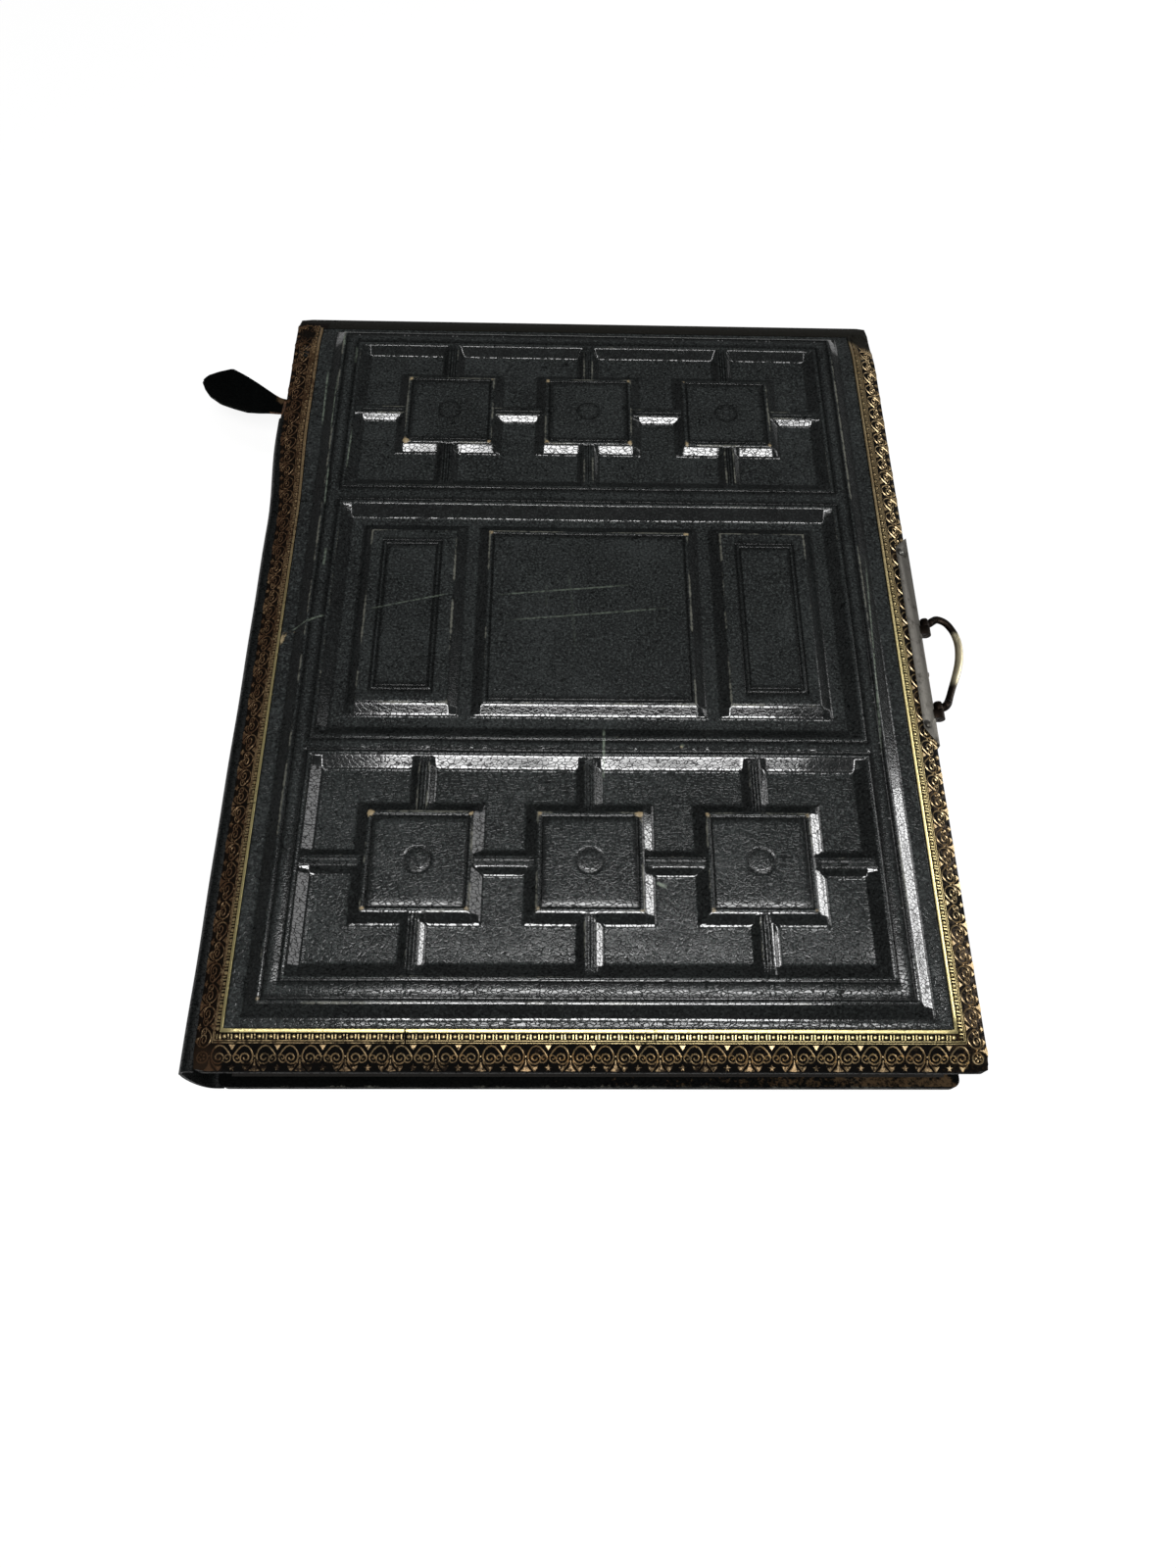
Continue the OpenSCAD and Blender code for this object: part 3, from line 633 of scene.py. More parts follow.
def rib_boxes():
    """Ribs from each raised square to its neighbours and to the sunk panel's walls."""
    boxes = []
    for cy, (y0, y1) in zip(SQUARE_ROWS, (PITS[0], PITS[2])):
        for cx in SQUARE_COLUMNS:
            boxes.append((cx - RIB_FOOT, cx + RIB_FOOT, y0 - RIB_INTO_WALL, y1 + RIB_INTO_WALL, "y"))
        x1 = PIT_X + RIB_INTO_WALL
        boxes.append((-x1, x1, cy - RIB_FOOT, cy + RIB_FOOT, "x"))
    return boxes


def slope_height(x, y):
    """Height of the border's four slopes, carried on upwards inside them."""
    fall = np.minimum.reduce([(FORE_X - x) / (FORE_X - FIELD_X), (x - SPINE_X) / (FIELD_LEFT - SPINE_X),
                              (END_Y - np.abs(y)) / (END_Y - FIELD_Y)])
    return RIM_Z + GILT_RISE * fall


def press_cover(x, y):
    """Height of the pressed leather, and how near a raised edge is."""
    height, _ = soft_lower(slope_height(x, y), np.full_like(x, BAND_Z), BORDER_SOFT)
    edge = np.zeros_like(x)
    fx, fy = FRAME_FOOT
    height, edge = raise_block(x, y, height, edge, (-fx, fx, -fy, fy), (FRAME_RUN, FRAME_RUN),
                               BAND_Z, TOP_Z)
    for (y0, y1), far_run in zip(PITS, FAR_WALL_RUNS):
        share = np.minimum.reduce([(PIT_X - np.abs(x)) / PIT_RUN, (y - y0) / PIT_RUN,
                                   (y1 - y) / far_run])
        wall = TOP_Z - (TOP_Z - SUNK_Z) * share
        bowl = soft_higher(wall, np.full_like(x, SUNK_Z), FLOOR_SOFT)
        height, near = soft_lower(height, bowl, MOUTH_SOFT)
        edge = np.maximum(edge * (near < 1), near * 0.6)
    slim = RIB_FOOT - RIB_TOP
    for x0, x1, y0, y1, way in rib_boxes():
        run = (slim, RIB_END_RUN) if way == "y" else (RIB_END_RUN, slim)
        height, edge = raise_block(x, y, height, edge, (x0, x1, y0, y1), run, SUNK_Z,
                                   TOP_Z - RIB_DROP)
    for cx, cy in squares():
        box = (cx - SQUARE_FOOT, cx + SQUARE_FOOT, cy - SQUARE_FOOT, cy + SQUARE_FOOT)
        height, edge = raise_block(x, y, height, edge, box, (BOSS_RUN, BOSS_RUN), SUNK_Z, TOP_Z)
    near, far = SIDE_PANEL
    for x0, x1 in ((-CENTRE_X, CENTRE_X), (-far, -near), (near, far)):
        height, edge = raise_block(x, y, height, edge, (x0, x1, -MIDDLE_Y, MIDDLE_Y),
                                   (BOSS_RUN, BOSS_RUN), SUNK_Z, TOP_Z)
    return height, edge


def tool_lines(x, y):
    """Depth of all the blind-tooled lines and rings."""
    depth = np.zeros_like(x)
    pit_x = PIT_X + LINE_BESIDE_PIT
    boxes = [(-pit_x, pit_x, y0 - LINE_BESIDE_PIT, y1 + LINE_BESIDE_PIT) for y0, y1 in PITS]
    tx, ty = FRAME_TOP[0] - LINE_BESIDE_FRAME, FRAME_TOP[1] - LINE_BESIDE_FRAME
    boxes.append((-tx, tx, -ty, ty))
    half = SQUARE_FOOT - BOSS_RUN - LINE_ON_SQUARE
    boxes += [(cx - half, cx + half, cy - half, cy + half) for cx, cy in squares()]
    inset = BOSS_RUN + LINE_ON_SQUARE
    boxes.append((-CENTRE_X + inset, CENTRE_X - inset, -MIDDLE_Y + inset, MIDDLE_Y - inset))
    for x0, x1, half_y in SIDE_TOOLED:
        boxes += [(x0, x1, -half_y, half_y), (-x1, -x0, -half_y, half_y)]
    for box in boxes:
        depth = np.maximum(depth, tooled(outside(x, y, box), *BOX_LINE))
    for cx, cy in squares():
        away = np.hypot(x - cx, y - cy)
        depth = np.maximum(depth, tooled(away - RING_R, *RING_LINE))
        depth = np.maximum(depth, tooled(away - INNER_RING, *INNER_RING_LINE))
    inner = SQUARE_FOOT - BOSS_RUN + 0.4
    for x0, x1, y0, y1, way in rib_boxes():
        across, along = (x - (x0 + x1) / 2, y) if way == "y" else (y - (y0 + y1) / 2, x)
        on_rib = (np.abs(across) < RIB_FOOT)
        ends = (y0, y1) if way == "y" else (x0, x1)
        on_rib &= (along > ends[0] + 1.5) & (along < ends[1] - 1.5)
        for cx, cy in squares():
            on_rib &= ~((np.abs(x - cx) < inner) & (np.abs(y - cy) < inner))
        for line in RIB_LINES:
            depth = np.maximum(depth, np.where(on_rib, tooled(across - line, *RIB_LINE), 0))
    return depth


def corner_wear(x, y, corner, inward, share):
    """Wear at a corner: a small patch drawn out along the two edges that meet there."""
    long, thin, patch = 2.6, 0.6, 1.25
    u, v = (x - corner[0]) * inward[0], (y - corner[1]) * inward[1]
    far_u, far_v = u / np.where(u > 0, long, thin), v / np.where(v > 0, long, thin)
    arms = np.maximum(np.exp(-far_u ** 2 - (v / thin) ** 2), np.exp(-far_v ** 2 - (u / thin) ** 2))
    return share * np.maximum(0.85 * arms, np.exp(-(np.hypot(u - 0.4, v - 0.4) / patch) ** 2))


# Rubbed corners of the panels and the frame: place, the way inwards, and how much
PANEL_RUBS = (((BOSS_RUN - CENTRE_X, 33.5), (1, -1), 0.6), ((CENTRE_X - BOSS_RUN, 33.5), (-1, -1), 0.7),
              ((-91, -127), (1, 1), 0.6), ((-49, 33), (-1, -1), 0.5))
# Rubbed spots: place, how much, and their reach along X and Y
SPOT_RUBS = ((-99, -9, 0.7, 1.2, 4.0), (-97, -6, 0.6, 4, 1.0), (21.5, -91.5, 0.9, 0.7, 0.5),
             (28.4, -48, 0.95, 1.0, 0.6), (-88.5, 22, 0.5, 0.8, 5.0))


def rubbed_corners(x, y):
    """Corners of the raised squares and panels that are rubbed through to tan leather."""
    rub = np.zeros_like(x)
    half = SQUARE_FOOT - BOSS_RUN - 0.2
    low, high = SQUARE_ROWS
    strong = {(-50, low, -1, 1): 1.0, (0, low, 1, 1): 1.05, (-50, high, -1, -1): 1.1,
              (0, high, 1, -1): 0.8, (0, high, -1, -1): 0.75, (50, high, -1, -1): 0.75,
              (50, low, 1, 1): 0.7, (-50, low, 1, 1): 0.75}
    for cx, cy in squares():
        for sx in (-1, 1):
            for sy in (-1, 1):
                share = strong.get((cx, cy, sx, sy), random.uniform(0.5, 0.75))
                corner = (cx + sx * half, cy + sy * half)
                rub = np.maximum(rub, corner_wear(x, y, corner, (-sx, -sy), share))
    for corner, inward, share in PANEL_RUBS:
        rub = np.maximum(rub, corner_wear(x, y, corner, inward, share))
    for cx, cy, share, wide, long in SPOT_RUBS:
        rub = np.maximum(rub, share * np.exp(-((x - cx) / wide) ** 2 - ((y - cy) / long) ** 2))
    return rub


# The sheet's grid: its lines beside an edge, beside a tooled line and across a ring, and the
# least and greatest distance between two of them
BESIDE_EDGE, BESIDE_LINE = (-0.75, -0.38, 0, 0.38, 0.75), (-0.42, -0.2, 0, 0.2, 0.42)
ACROSS_RING = np.arange(-4.62, 4.63, 0.42)
CLOSEST, WIDEST = 0.17, 2.6


def grid_stops(low, high, edges, lines, rings):
    """Places of a grid's lines: close together at edges, tooled lines and rings."""
    wanted = [low, high]
    for places, beside in ((edges, BESIDE_EDGE), (lines, BESIDE_LINE), (rings, ACROSS_RING)):
        wanted += [place + d for place in places for d in beside]
    wanted = sorted(w for w in wanted if low <= w <= high)
    stops = [wanted[0]]
    for stop in wanted[1:]:
        gap = stop - stops[-1]
        if gap < CLOSEST and stop != high:
            continue
        steps = max(1, math.ceil(gap / WIDEST))
        stops += [stops[-1] + gap * i / steps for i in range(1, steps + 1)]
    return np.array(stops)


def both_sides(values):
    return [s * v for v in values for s in (-1, 1)]


# The leather's turn over the board's edge: how far out each step goes, and how far down
TURN_DOWN = ((0.4, 0.35), (0.2, 0.5), (0, 1.3), (-0.15, 0.35), (-0.5, 0.22), (-2.4, 0))


def front_leather():
    """The front cover's leather: the pressed sheet, turned down over the board's edges."""
    half = SQUARE_FOOT - BOSS_RUN
    x_edges = both_sides([FRAME_FOOT[0], FRAME_TOP[0], PIT_X, PIT_X - PIT_RUN, CENTRE_X,
                          CENTRE_X - BOSS_RUN, SIDE_PANEL[0], SIDE_PANEL[0] + BOSS_RUN, SIDE_PANEL[1],
                          SIDE_PANEL[1] - BOSS_RUN]) + [FIELD_LEFT, FIELD_X]
    y_edges = both_sides([FRAME_FOOT[1], FRAME_TOP[1], FIELD_Y, MIDDLE_Y, MIDDLE_Y - BOSS_RUN])
    for (y0, y1), far_run in zip(PITS, FAR_WALL_RUNS):
        y_edges += [y0, y0 + PIT_RUN, y1 - far_run, y1]
    x_lines = both_sides([FRAME_TOP[0] - LINE_BESIDE_FRAME, PIT_X + LINE_BESIDE_PIT,
                          CENTRE_X - BOSS_RUN - LINE_ON_SQUARE])
    y_lines = both_sides([FRAME_TOP[1] - LINE_BESIDE_FRAME, MIDDLE_Y - BOSS_RUN - LINE_ON_SQUARE])
    y_lines += [y for pit in PITS for y in (pit[0] - LINE_BESIDE_PIT, pit[1] + LINE_BESIDE_PIT)]
    for x0, x1, half_y in SIDE_TOOLED:
        x_lines += both_sides([x0, x1])
        y_lines += both_sides([half_y])
    for centres, edges, lines in ((SQUARE_COLUMNS, x_edges, x_lines), (SQUARE_ROWS, y_edges, y_lines)):
        for c in centres:
            edges += [c - SQUARE_FOOT, c + SQUARE_FOOT, c - half, c + half]
            lines += [c - half + LINE_ON_SQUARE, c + half - LINE_ON_SQUARE]
    turn = 0.6
    xs = grid_stops(SPINE_X + turn, FORE_X - turn, x_edges, x_lines, SQUARE_COLUMNS)
    ys = grid_stops(-END_Y + turn, END_Y - turn, y_edges, y_lines, SQUARE_ROWS)
    piece, column, row = sheet_grid("front_leather", len(xs), len(ys))
    x, y = xs[column], ys[row]
    height, edge = press_cover(x, y)
    lines = tool_lines(x, y)
    # The flats have sunk a little unevenly
    uneven = 1 + np.sin(x / 17 + 1.3 * np.sin(y / 31)) * np.sin(y / 23 + 0.8)
    ripple = 1 + np.sin(x / 4.7 + 2 * np.sin(y / 19)) * np.sin(y / 6.1 + 1.7 * np.sin(x / 23))
    inside = ease((FIELD_X - np.abs(x)) / 16) * ease((FIELD_Y - np.abs(y)) / 6)
    height = height - lines - (0.13 * uneven + 0.035 * ripple) * inside
    place_vertices(piece, np.column_stack([x, y, height]))
    # The material reads these marks: it paints the tooled lines and the steep slopes darker as shade,
    # and the raised edges paler, partly as a painted highlight
    keep_attribute(piece, "edge", edge)
    keep_attribute(piece, "rub", rubbed_corners(x, y))
    keep_attribute(piece, "tooled", np.clip(lines / 0.2, 0, 1))
    sheet = np.empty((len(ys), len(xs)))
    sheet[row, column] = height
    fall = np.hypot(*np.gradient(sheet, ys, xs))[row, column]
    keep_attribute(piece, "pressed", np.clip(fall / 0.5, 0, 1))
    # The turn-down over the edge of the board, and the covered underside
    edit(piece, "EDGE")
    bpy.ops.mesh.select_all(action="DESELECT")
    bpy.ops.mesh.select_non_manifold(extend=False)
    centre = Vector(((FORE_X + SPINE_X) / 2, 0, 0)) * MM
    width, length = FORE_X - SPINE_X - 2 * turn, 2 * (END_Y - turn)
    for out, down in TURN_DOWN:
        bpy.ops.mesh.extrude_region_move(TRANSFORM_OT_translate={"value": (0, 0, -down * MM)})
        bpy.ops.transform.resize(value=((width + 2 * out) / width, (length + 2 * out) / length, 1),
                                 center_override=centre)
        width, length = width + 2 * out, length + 2 * out
    bpy.ops.mesh.edge_face_add()
    done()
    place_vertices(piece, aged(coordinates(piece)))
    smooth(piece, 60)
    modify(piece, "WEIGHTED_NORMAL", mode="FACE_AREA", keep_sharp=True)
    dress(piece, COVER_LEATHER, "front_board", ["front_cover"])
    # The turned-down rim and the underside take the darker copy of the leather, painted dark as shade
    piece.data.materials.append(BACK_LEATHER)
    for face in piece.data.polygons:
        upright = abs(face.normal.z) < 0.5 and face.center.z < RIM_Z * MM
        face.material_index = int(upright or face.normal.z < -0.5)


# Gilt border: strips and stamped ornament that lie on the sloping border


def slope_strip(name, near, far, thick, bevel, head_side=True):
    """A mitred strip round the sloping border, between two shares of the slope's width."""
    def ring(share):
        return (FIELD_LEFT - share * (FIELD_LEFT - SPINE_X), FIELD_X + share * (FORE_X - FIELD_X),
                FIELD_Y + share * (END_Y - FIELD_Y))

    x_low, x_high, y_high = ring(far)
    deselect()
    foot = ((x_low + x_high) / 2 * MM, 0, (BAND_Z - far * GILT_RISE) * MM)
    bpy.ops.mesh.primitive_plane_add(size=MM, location=foot)
    piece = named(name)
    piece.scale = (x_high - x_low, 2 * y_high, 1)
    settle(piece)
    edit(piece, "FACE")
    bpy.ops.mesh.select_all(action="SELECT")
    rise = (0, 0, (far - near) * GILT_RISE * MM)
    bpy.ops.mesh.extrude_region_move(TRANSFORM_OT_translate={"value": rise})
    done()
    at = coordinates(piece)
    upper = at[:, 2] > at[:, 2].min() + 1e-4
    x_low, x_high, y_high = ring(near)
    at[upper, 0] = np.where(at[upper, 0] > 0, x_high, x_low)
    at[upper, 1] = np.sign(at[upper, 1]) * y_high
    place_vertices(piece, at)
    pick(piece, lambda centre, normal: abs(normal.z) > 0.999)
    bpy.ops.mesh.delete(type="FACE")
    bpy.ops.mesh.select_all(action="SELECT")
    bpy.ops.mesh.normals_make_consistent(inside=False)
    done()
    if piece.data.polygons[0].normal.z < 0:
        piece.data.flip_normals()
    if not head_side:
        pick(piece, lambda centre, normal: centre.y > FIELD_Y and abs(centre.x) < 20)
        bpy.ops.mesh.delete(type="FACE")
        done()
    # Cuts across the strip let it follow the bent head end
    pick(piece, lambda first, last: (first - last).length > 100, "EDGE")
    bpy.ops.mesh.subdivide(number_cuts=60)
    done()
    modify(piece, "SOLIDIFY", thickness=thick * MM, offset=1.0, use_even_offset=True)
    round_edges(piece, bevel)
    place_vertices(piece, aged(coordinates(piece)))
    return piece


def stamped_line(points, radius, closed=False):
    """A thin raised line through points on the slope, as millimetres along it and down it."""
    return drawn_bar("stamped_line", [(u, v, 0) for u, v in points], [radius] * len(points),
                     closed=closed)


def stamped_leaf(points, height):
    """A small solid leaf with its outline on the slope."""
    deselect()
    bpy.ops.mesh.primitive_circle_add(vertices=len(points), radius=MM, fill_type="NGON")
    piece = named("stamped_leaf")
    place_vertices(piece, [(u, v, 0.0) for u, v in points])
    if piece.data.polygons[0].normal.z < 0:
        piece.data.flip_normals()
    edit(piece, "FACE")
    bpy.ops.mesh.select_all(action="SELECT")
    bpy.ops.mesh.inset(thickness=0.12 * MM, depth=height * MM)
    done()
    return piece


# The scroll line, one half of its repeat: millimetres along it from the middle, and
# down it from the second fillet
PAIR = 12.2
DOME = [(0.25, 3.5), (0.8, 2.6), (1.45, 1.7), (2.3, 0.8), (3.3, 0.45), (4.3, 0.8), (5.1, 1.7),
        (5.55, 2.8), (5.55, 3.8), (5.15, 4.7), (4.4, 5.25), (3.5, 5.35), (2.7, 4.95), (2.25, 4.3),
        (2.25, 3.5), (2.7, 2.85), (3.4, 2.6), (4.1, 2.85), (4.5, 3.45), (4.35, 4.05), (3.8, 4.4),
        (3.25, 4.2), (3.05, 3.7)]
CURL = [(2.35, 4.7), (1.85, 4.95), (1.2, 4.95), (0.6, 4.5), (0.35, 3.85), (0.6, 3.2), (1.2, 2.95),
        (1.75, 3.25), (1.85, 3.8), (1.45, 4.15), (1.1, 3.9)]
LEAF_SIDE = [(5.65, 4.5), (5.1, 5.4), (4.4, 6.4), (3.65, 7.3)]
LEAF = [(4.5, 5.85), (3.6, 6.05), (2.7, 5.75), (2.95, 6.5), (3.6, 7.35), (4.15, 6.5)]
TRUMPET = [(-0.14, 4.1), (0.14, 4.1), (0.24, 5.3), (0.65, 6.3), (1.6, 7.2), (0, 7.4), (-1.6, 7.2),
           (-0.65, 6.3), (-0.24, 5.3)]
KNOT = [(0, 2.95), (0.36, 3.3), (0, 3.65), (-0.36, 3.3)]
FLOWER = [(0, 5.3), (0.3, 5.95), (1.15, 6.2), (0.4, 6.5), (0.5, 7.25), (0, 6.95), (-0.5, 7.25),
          (-0.4, 6.5), (-1.15, 6.2), (-0.3, 5.95)]
CROWN = [(-1.0, 0.2), (1.0, 0.2), (0.1, 1.7), (-0.1, 1.7)]


def scroll_pair():
    """Two domed scrolls back to back, with leaves below them, a flower and a trumpet between."""
    parts = []
    for side in (-1, 1):
        for points, radius in ((DOME, 0.21), (CURL, 0.18), (LEAF_SIDE, 0.16)):
            parts.append(stamped_line([(side * u, v) for u, v in points], radius))
        parts.append(stamped_leaf([(side * u, v) for u, v in LEAF], 0.2))
    parts += [stamped_leaf(FLOWER, 0.26), stamped_leaf(CROWN, 0.22)]
    parts += [stamped_leaf([(PAIR / 2 + u, v) for u, v in shape], 0.28) for shape in (TRUMPET, KNOT)]
    return join(parts, "scroll_pair")


def rosette():
    """A small round flower that closes a corner."""
    ring = [(1.55 * math.cos(a), 1.55 * math.sin(a)) for a in np.arange(14) * math.tau / 14]
    parts = [stamped_line(ring, 0.24, closed=True)]
    for i in range(5):
        a = i * math.tau / 5
        petal = [(r * math.cos(a + d), r * math.sin(a + d)) for r, d in
                 ((0.35, -0.5), (0.95, -0.42), (1.2, 0), (0.95, 0.42), (0.35, 0.5))]
        parts.append(stamped_leaf(petal, 0.26))
    return join(parts, "rosette")


BEAD_PITCH = 3.1


def bead_and_reel():
    """One bead with two short bars after it."""
    deselect()
    bpy.ops.mesh.primitive_uv_sphere_add(segments=6, ring_count=4, radius=0.62 * MM)
    bead = named("bead")
    bead.scale.z = 0.75
    parts = [settle(bead)]
    for place in (0.36, 0.64):
        parts.append(block("reel", (BEAD_PITCH * place, 0, 0.05), (0.34, 1.3, 0.62)))
    row = join(parts, "bead_and_reel")
    # The polish keeps more gold on the beads and paints a pale highlight on them
    keep_attribute(row, "polish", 0.7)
    return row


def side_frames():
    """The three ornamented sides of the border: place and turn, width of the slope, and
    for each end the half length at the top and how much it grows down the slope."""
    spine, fore = (-FIELD_LEFT, FIELD_LEFT - SPINE_X), (FIELD_X, FORE_X - FIELD_X)
    end = (FIELD_Y, END_Y - FIELD_Y)
    frames = []
    for name, out, (half, run), first, last in (("fore", (1, 0, 0), fore, end, end),
                                                ("spine", (-1, 0, 0), spine, end, end),
                                                ("tail", (0, -1, 0), end, fore, spine)):
        tilt = math.atan2(GILT_RISE, run)
        outward = Vector(out)
        down = outward * math.cos(tilt) - Vector((0, 0, math.sin(tilt)))
        up = outward * math.sin(tilt) + Vector((0, 0, math.cos(tilt)))
        turn = Matrix((down.cross(up), down, up)).transposed().to_4x4()
        place = Matrix.Translation((outward * half + Vector((0, 0, BAND_Z))) * MM) @ turn
        frames.append((name, place, run / math.cos(tilt), first, last))
    return frames


def on_side(pattern, name, place, side, stretch, across, centres):
    """Copies a pattern to its places along one side, and lays it on the slopes."""
    piece = pattern.copy()
    piece.data = pattern.data.copy()
    bpy.context.collection.objects.link(piece)
    piece.name = piece.data.name = name
    if len(centres) > 1:
        modify(piece, "ARRAY", count=len(centres), use_relative_offset=False, use_constant_offset=True,
               constant_offset_displace=((centres[1] - centres[0]) * MM, 0, 0))
    at = coordinates(piece)
    at[:, 1] *= stretch
    place_vertices(piece, at + (centres[0], across, ORNAMENT_LIFT))
    piece.data.transform(place)
    at = coordinates(piece)
    x, y = at[:, 0], at[:, 1]
    own_slope = {"fore": (FORE_X - x) / (FORE_X - FIELD_X),
                 "spine": (x - SPINE_X) / (FIELD_LEFT - SPINE_X),
                 "tail": (END_Y + y) / (END_Y - FIELD_Y)}[side]
    at[:, 2] += slope_height(x, y) - (RIM_Z + GILT_RISE * own_slope)
    place_vertices(piece, aged(at))
    return piece


def rubbed_spine_edge(piece):
    """Marks the strip along the torn part of the spine whose gilding is worn off."""
    at = coordinates(piece)
    beside = at[:, 0] + spread(np.full(len(at), SPINE_X), at[:, 1])
    torn = ease((at[:, 1] - 62) / 12) * ease((122 - at[:, 1]) / 10)
    keep_attribute(piece, "bare", ease((SPINE_X + 1.9 - beside) / 0.7) * torn)


# Width of the tail's slope, which the patterns are drawn for
END_SLOPE = math.hypot(GILT_RISE, END_Y - FIELD_Y)
# Where the bead line, the scroll line and the corner flower lie, as shares of the slope
BEADS_AT, SCROLLS_FROM, CORNER_AT = 0.188, 0.352, 0.66
GILT_SKIN, ORNAMENT_LIFT = 0.25, 0.28
# The plain raised lines: from and to as shares of the slope, thickness, and their polish, which
# keeps more gold on them and paints a pale highlight on them
FILLETS = ((0.01, 0.1, 0.5, 1.0), (0.268, 0.296, 0.45, 0.5), (0.322, 0.345, 0.45, 0.5))


def gilt_work():
    """The stamped gilding: fillets, the bead-and-reel line and the scroll line. The head
    side is worn plain."""
    ground = slope_strip("gilt_ground", 0.0, 0.985, GILT_SKIN, 0.08)
    smooth(ground, 30)
    dress(ground, GILT_GROUND, "front_board")
    parts = []
    for near, far, thick, polish in FILLETS:
        fillet = slope_strip("fillet", near, far, thick, 0.12, head_side=False)
        keep_attribute(fillet, "polish", polish)
        parts.append(fillet)
    pair, bead, flower = scroll_pair(), bead_and_reel(), rosette()
    for side, place, width, first, last in side_frames():
        for pattern, pitch, share, middle, margin in ((bead, BEAD_PITCH, BEADS_AT, BEADS_AT, 0.4),
                                                      (pair, PAIR, SCROLLS_FROM, CORNER_AT, 2.0)):
            low = -(first[0] + middle * first[1]) + margin
            high = last[0] + middle * last[1] - margin
            count = round((high - low) / pitch)
            step = (high - low) / count
            parts.append(on_side(pattern, side + "_" + pattern.name, place, side, width / END_SLOPE,
                                 share * width, [low + step * (i + 0.5) for i in range(count)]))
        if side == "tail":
            for end in (-(first[0] + CORNER_AT * first[1]), last[0] + CORNER_AT * last[1]):
                parts.append(on_side(flower, "corner_rosette", place, side, 1.0, CORNER_AT * width,
                                     [end]))
    for pattern in (pair, bead, flower):
        bpy.data.objects.remove(pattern)
    ornament = join(parts, "gilt_ornament")
    smooth(ornament, 35)
    for piece in (ground, ornament):
        rubbed_spine_edge(piece)
    dress(ornament, GOLD_LEAF, "front_board", ["gilt_border"])


# Back cover, block of leaves and spine


def softened(node, name):
    """A copy of a CAD node's mesh with its flat faces made whole and its edges rounded."""
    piece = bpy.data.objects.new(name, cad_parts[node].data.copy())
    bpy.context.collection.objects.link(piece)
    piece.data.name = name
    edit(piece)
    bpy.ops.mesh.select_all(action="SELECT")
    bpy.ops.mesh.remove_doubles(threshold=0.005 * MM)
    bpy.ops.mesh.dissolve_limited(angle_limit=math.radians(1))
    done()
    round_edges(piece, CLASP_BEVEL, degrees=25)
    return smooth(piece)


def back_leather():
    """The back cover: a board covered in leather, with rounded edges."""
    piece = block("back_leather", ((FORE_X + SPINE_X) / 2, 0, BACK_Z / 2),
                  (FORE_X - SPINE_X, 2 * END_Y, BACK_Z))
    pick(piece, lambda first, last: abs(first.z - last.z) > BACK_Z / 2, "EDGE")
    bpy.ops.mesh.bevel(offset=CORNER_R * MM, segments=6)
    done()
    pick(piece, lambda centre, normal: normal.z < -0.9)
    bpy.ops.mesh.inset(thickness=4 * MM)
    done()
    # The underside's rim is drawn up, so that the board stands on its flat middle
    at = coordinates(piece)
    outer = (np.abs(at[:, 1]) > END_Y - 1) | (at[:, 0] > FORE_X - 1) | (at[:, 0] < SPINE_X + 1)
    at[(at[:, 2] < 1) & outer, 2] = 2.4
    place_vertices(piece, at)
    round_edges(piece, 1.0, segments=4, degrees=20)
    smooth(piece, 30)
    at = coordinates(piece)
    keep_attribute(piece, "edge", np.clip((np.abs(at[:, 1]) - END_Y + 1.2), 0, 0.6))
    in_corner = (FORE_X - at[:, 0] < CORNER_R - 0.4) & (END_Y - np.abs(at[:, 1]) < CORNER_R - 0.4)
    keep_attribute(piece, "rub", 0.62 * in_corner * (at[:, 2] > 2))
    dress(piece, BACK_LEATHER, "back_board", ["back_cover"])


def card_leaves():
    """Twelve thick card leaves with rounded edges and slightly uneven lengths."""
    low, high = (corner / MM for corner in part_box("page_block"))
    count, gap = 12, 0.35
    pitch = (high.z - low.z + gap) / count
    leaves = []
    for leaf in range(count):
        x1 = high.x - random.uniform(0.0, 0.7)
        y0, y1 = low.y + random.uniform(0.0, 0.6), high.y - random.uniform(0.0, 0.6)
        z0 = low.z + leaf * pitch
        thick = min(pitch - gap + random.uniform(0.0, 0.12), high.z - z0)
        piece = block("leaf", ((low.x + x1) / 2, (y0 + y1) / 2, z0 + thick / 2),
                      (x1 - low.x, y1 - y0, thick))
        edit(piece, "FACE")
        bpy.ops.mesh.select_all(action="SELECT")
        bpy.ops.mesh.bevel(offset=0.25 * MM, segments=2)
        done()
        leaves.append(piece)
    piece = smooth(join(leaves, "card_leaves"), 30)
    dress(piece, CARD, "book_block", ["page_block"])


# Section of the spine leather from the front joint to the back joint, X and Z
SPINE_SECTION = [(-112.35, 25.3), (-112.75, 23.6), (-113.0, 21.0), (-113.15, 17.5), (-113.1, 14.0),
                 (-112.9, 11.0), (-112.5, 8.6)]
FRONT_JOINT = [(-107.3, 29.6), (-107.7, 29.95), (-108.2, 30.15), (-109.0, 30.2), (-109.8, 30.1),
               (-110.5, 29.8), (-111.1, 29.2), (-111.7, 28.2), (-112.2, 27.0), (-112.5, 25.8),
               (-112.55, 24.9)]
BACK_JOINT = [(-106.6, 3.2), (-107.4, 3.0), (-108.4, 2.95), (-109.6, 3.2), (-110.6, 3.9),
              (-111.5, 5.2), (-112.1, 6.8), (-112.45, 8.3), (-112.55, 9.0)]

# How much of the cover's spread the leather beside it follows
SPREAD_SHARE = 0.6


def along_section(section, share):
    """Points along a section by its length, for shares from 0 to 1."""
    section = np.array(section)
    steps = np.hypot(*np.diff(section, axis=0).T)
    travelled = np.concatenate([[0], np.cumsum(steps)]) / steps.sum()
    return np.interp(share, travelled, section[:, 0]), np.interp(share, travelled, section[:, 1])


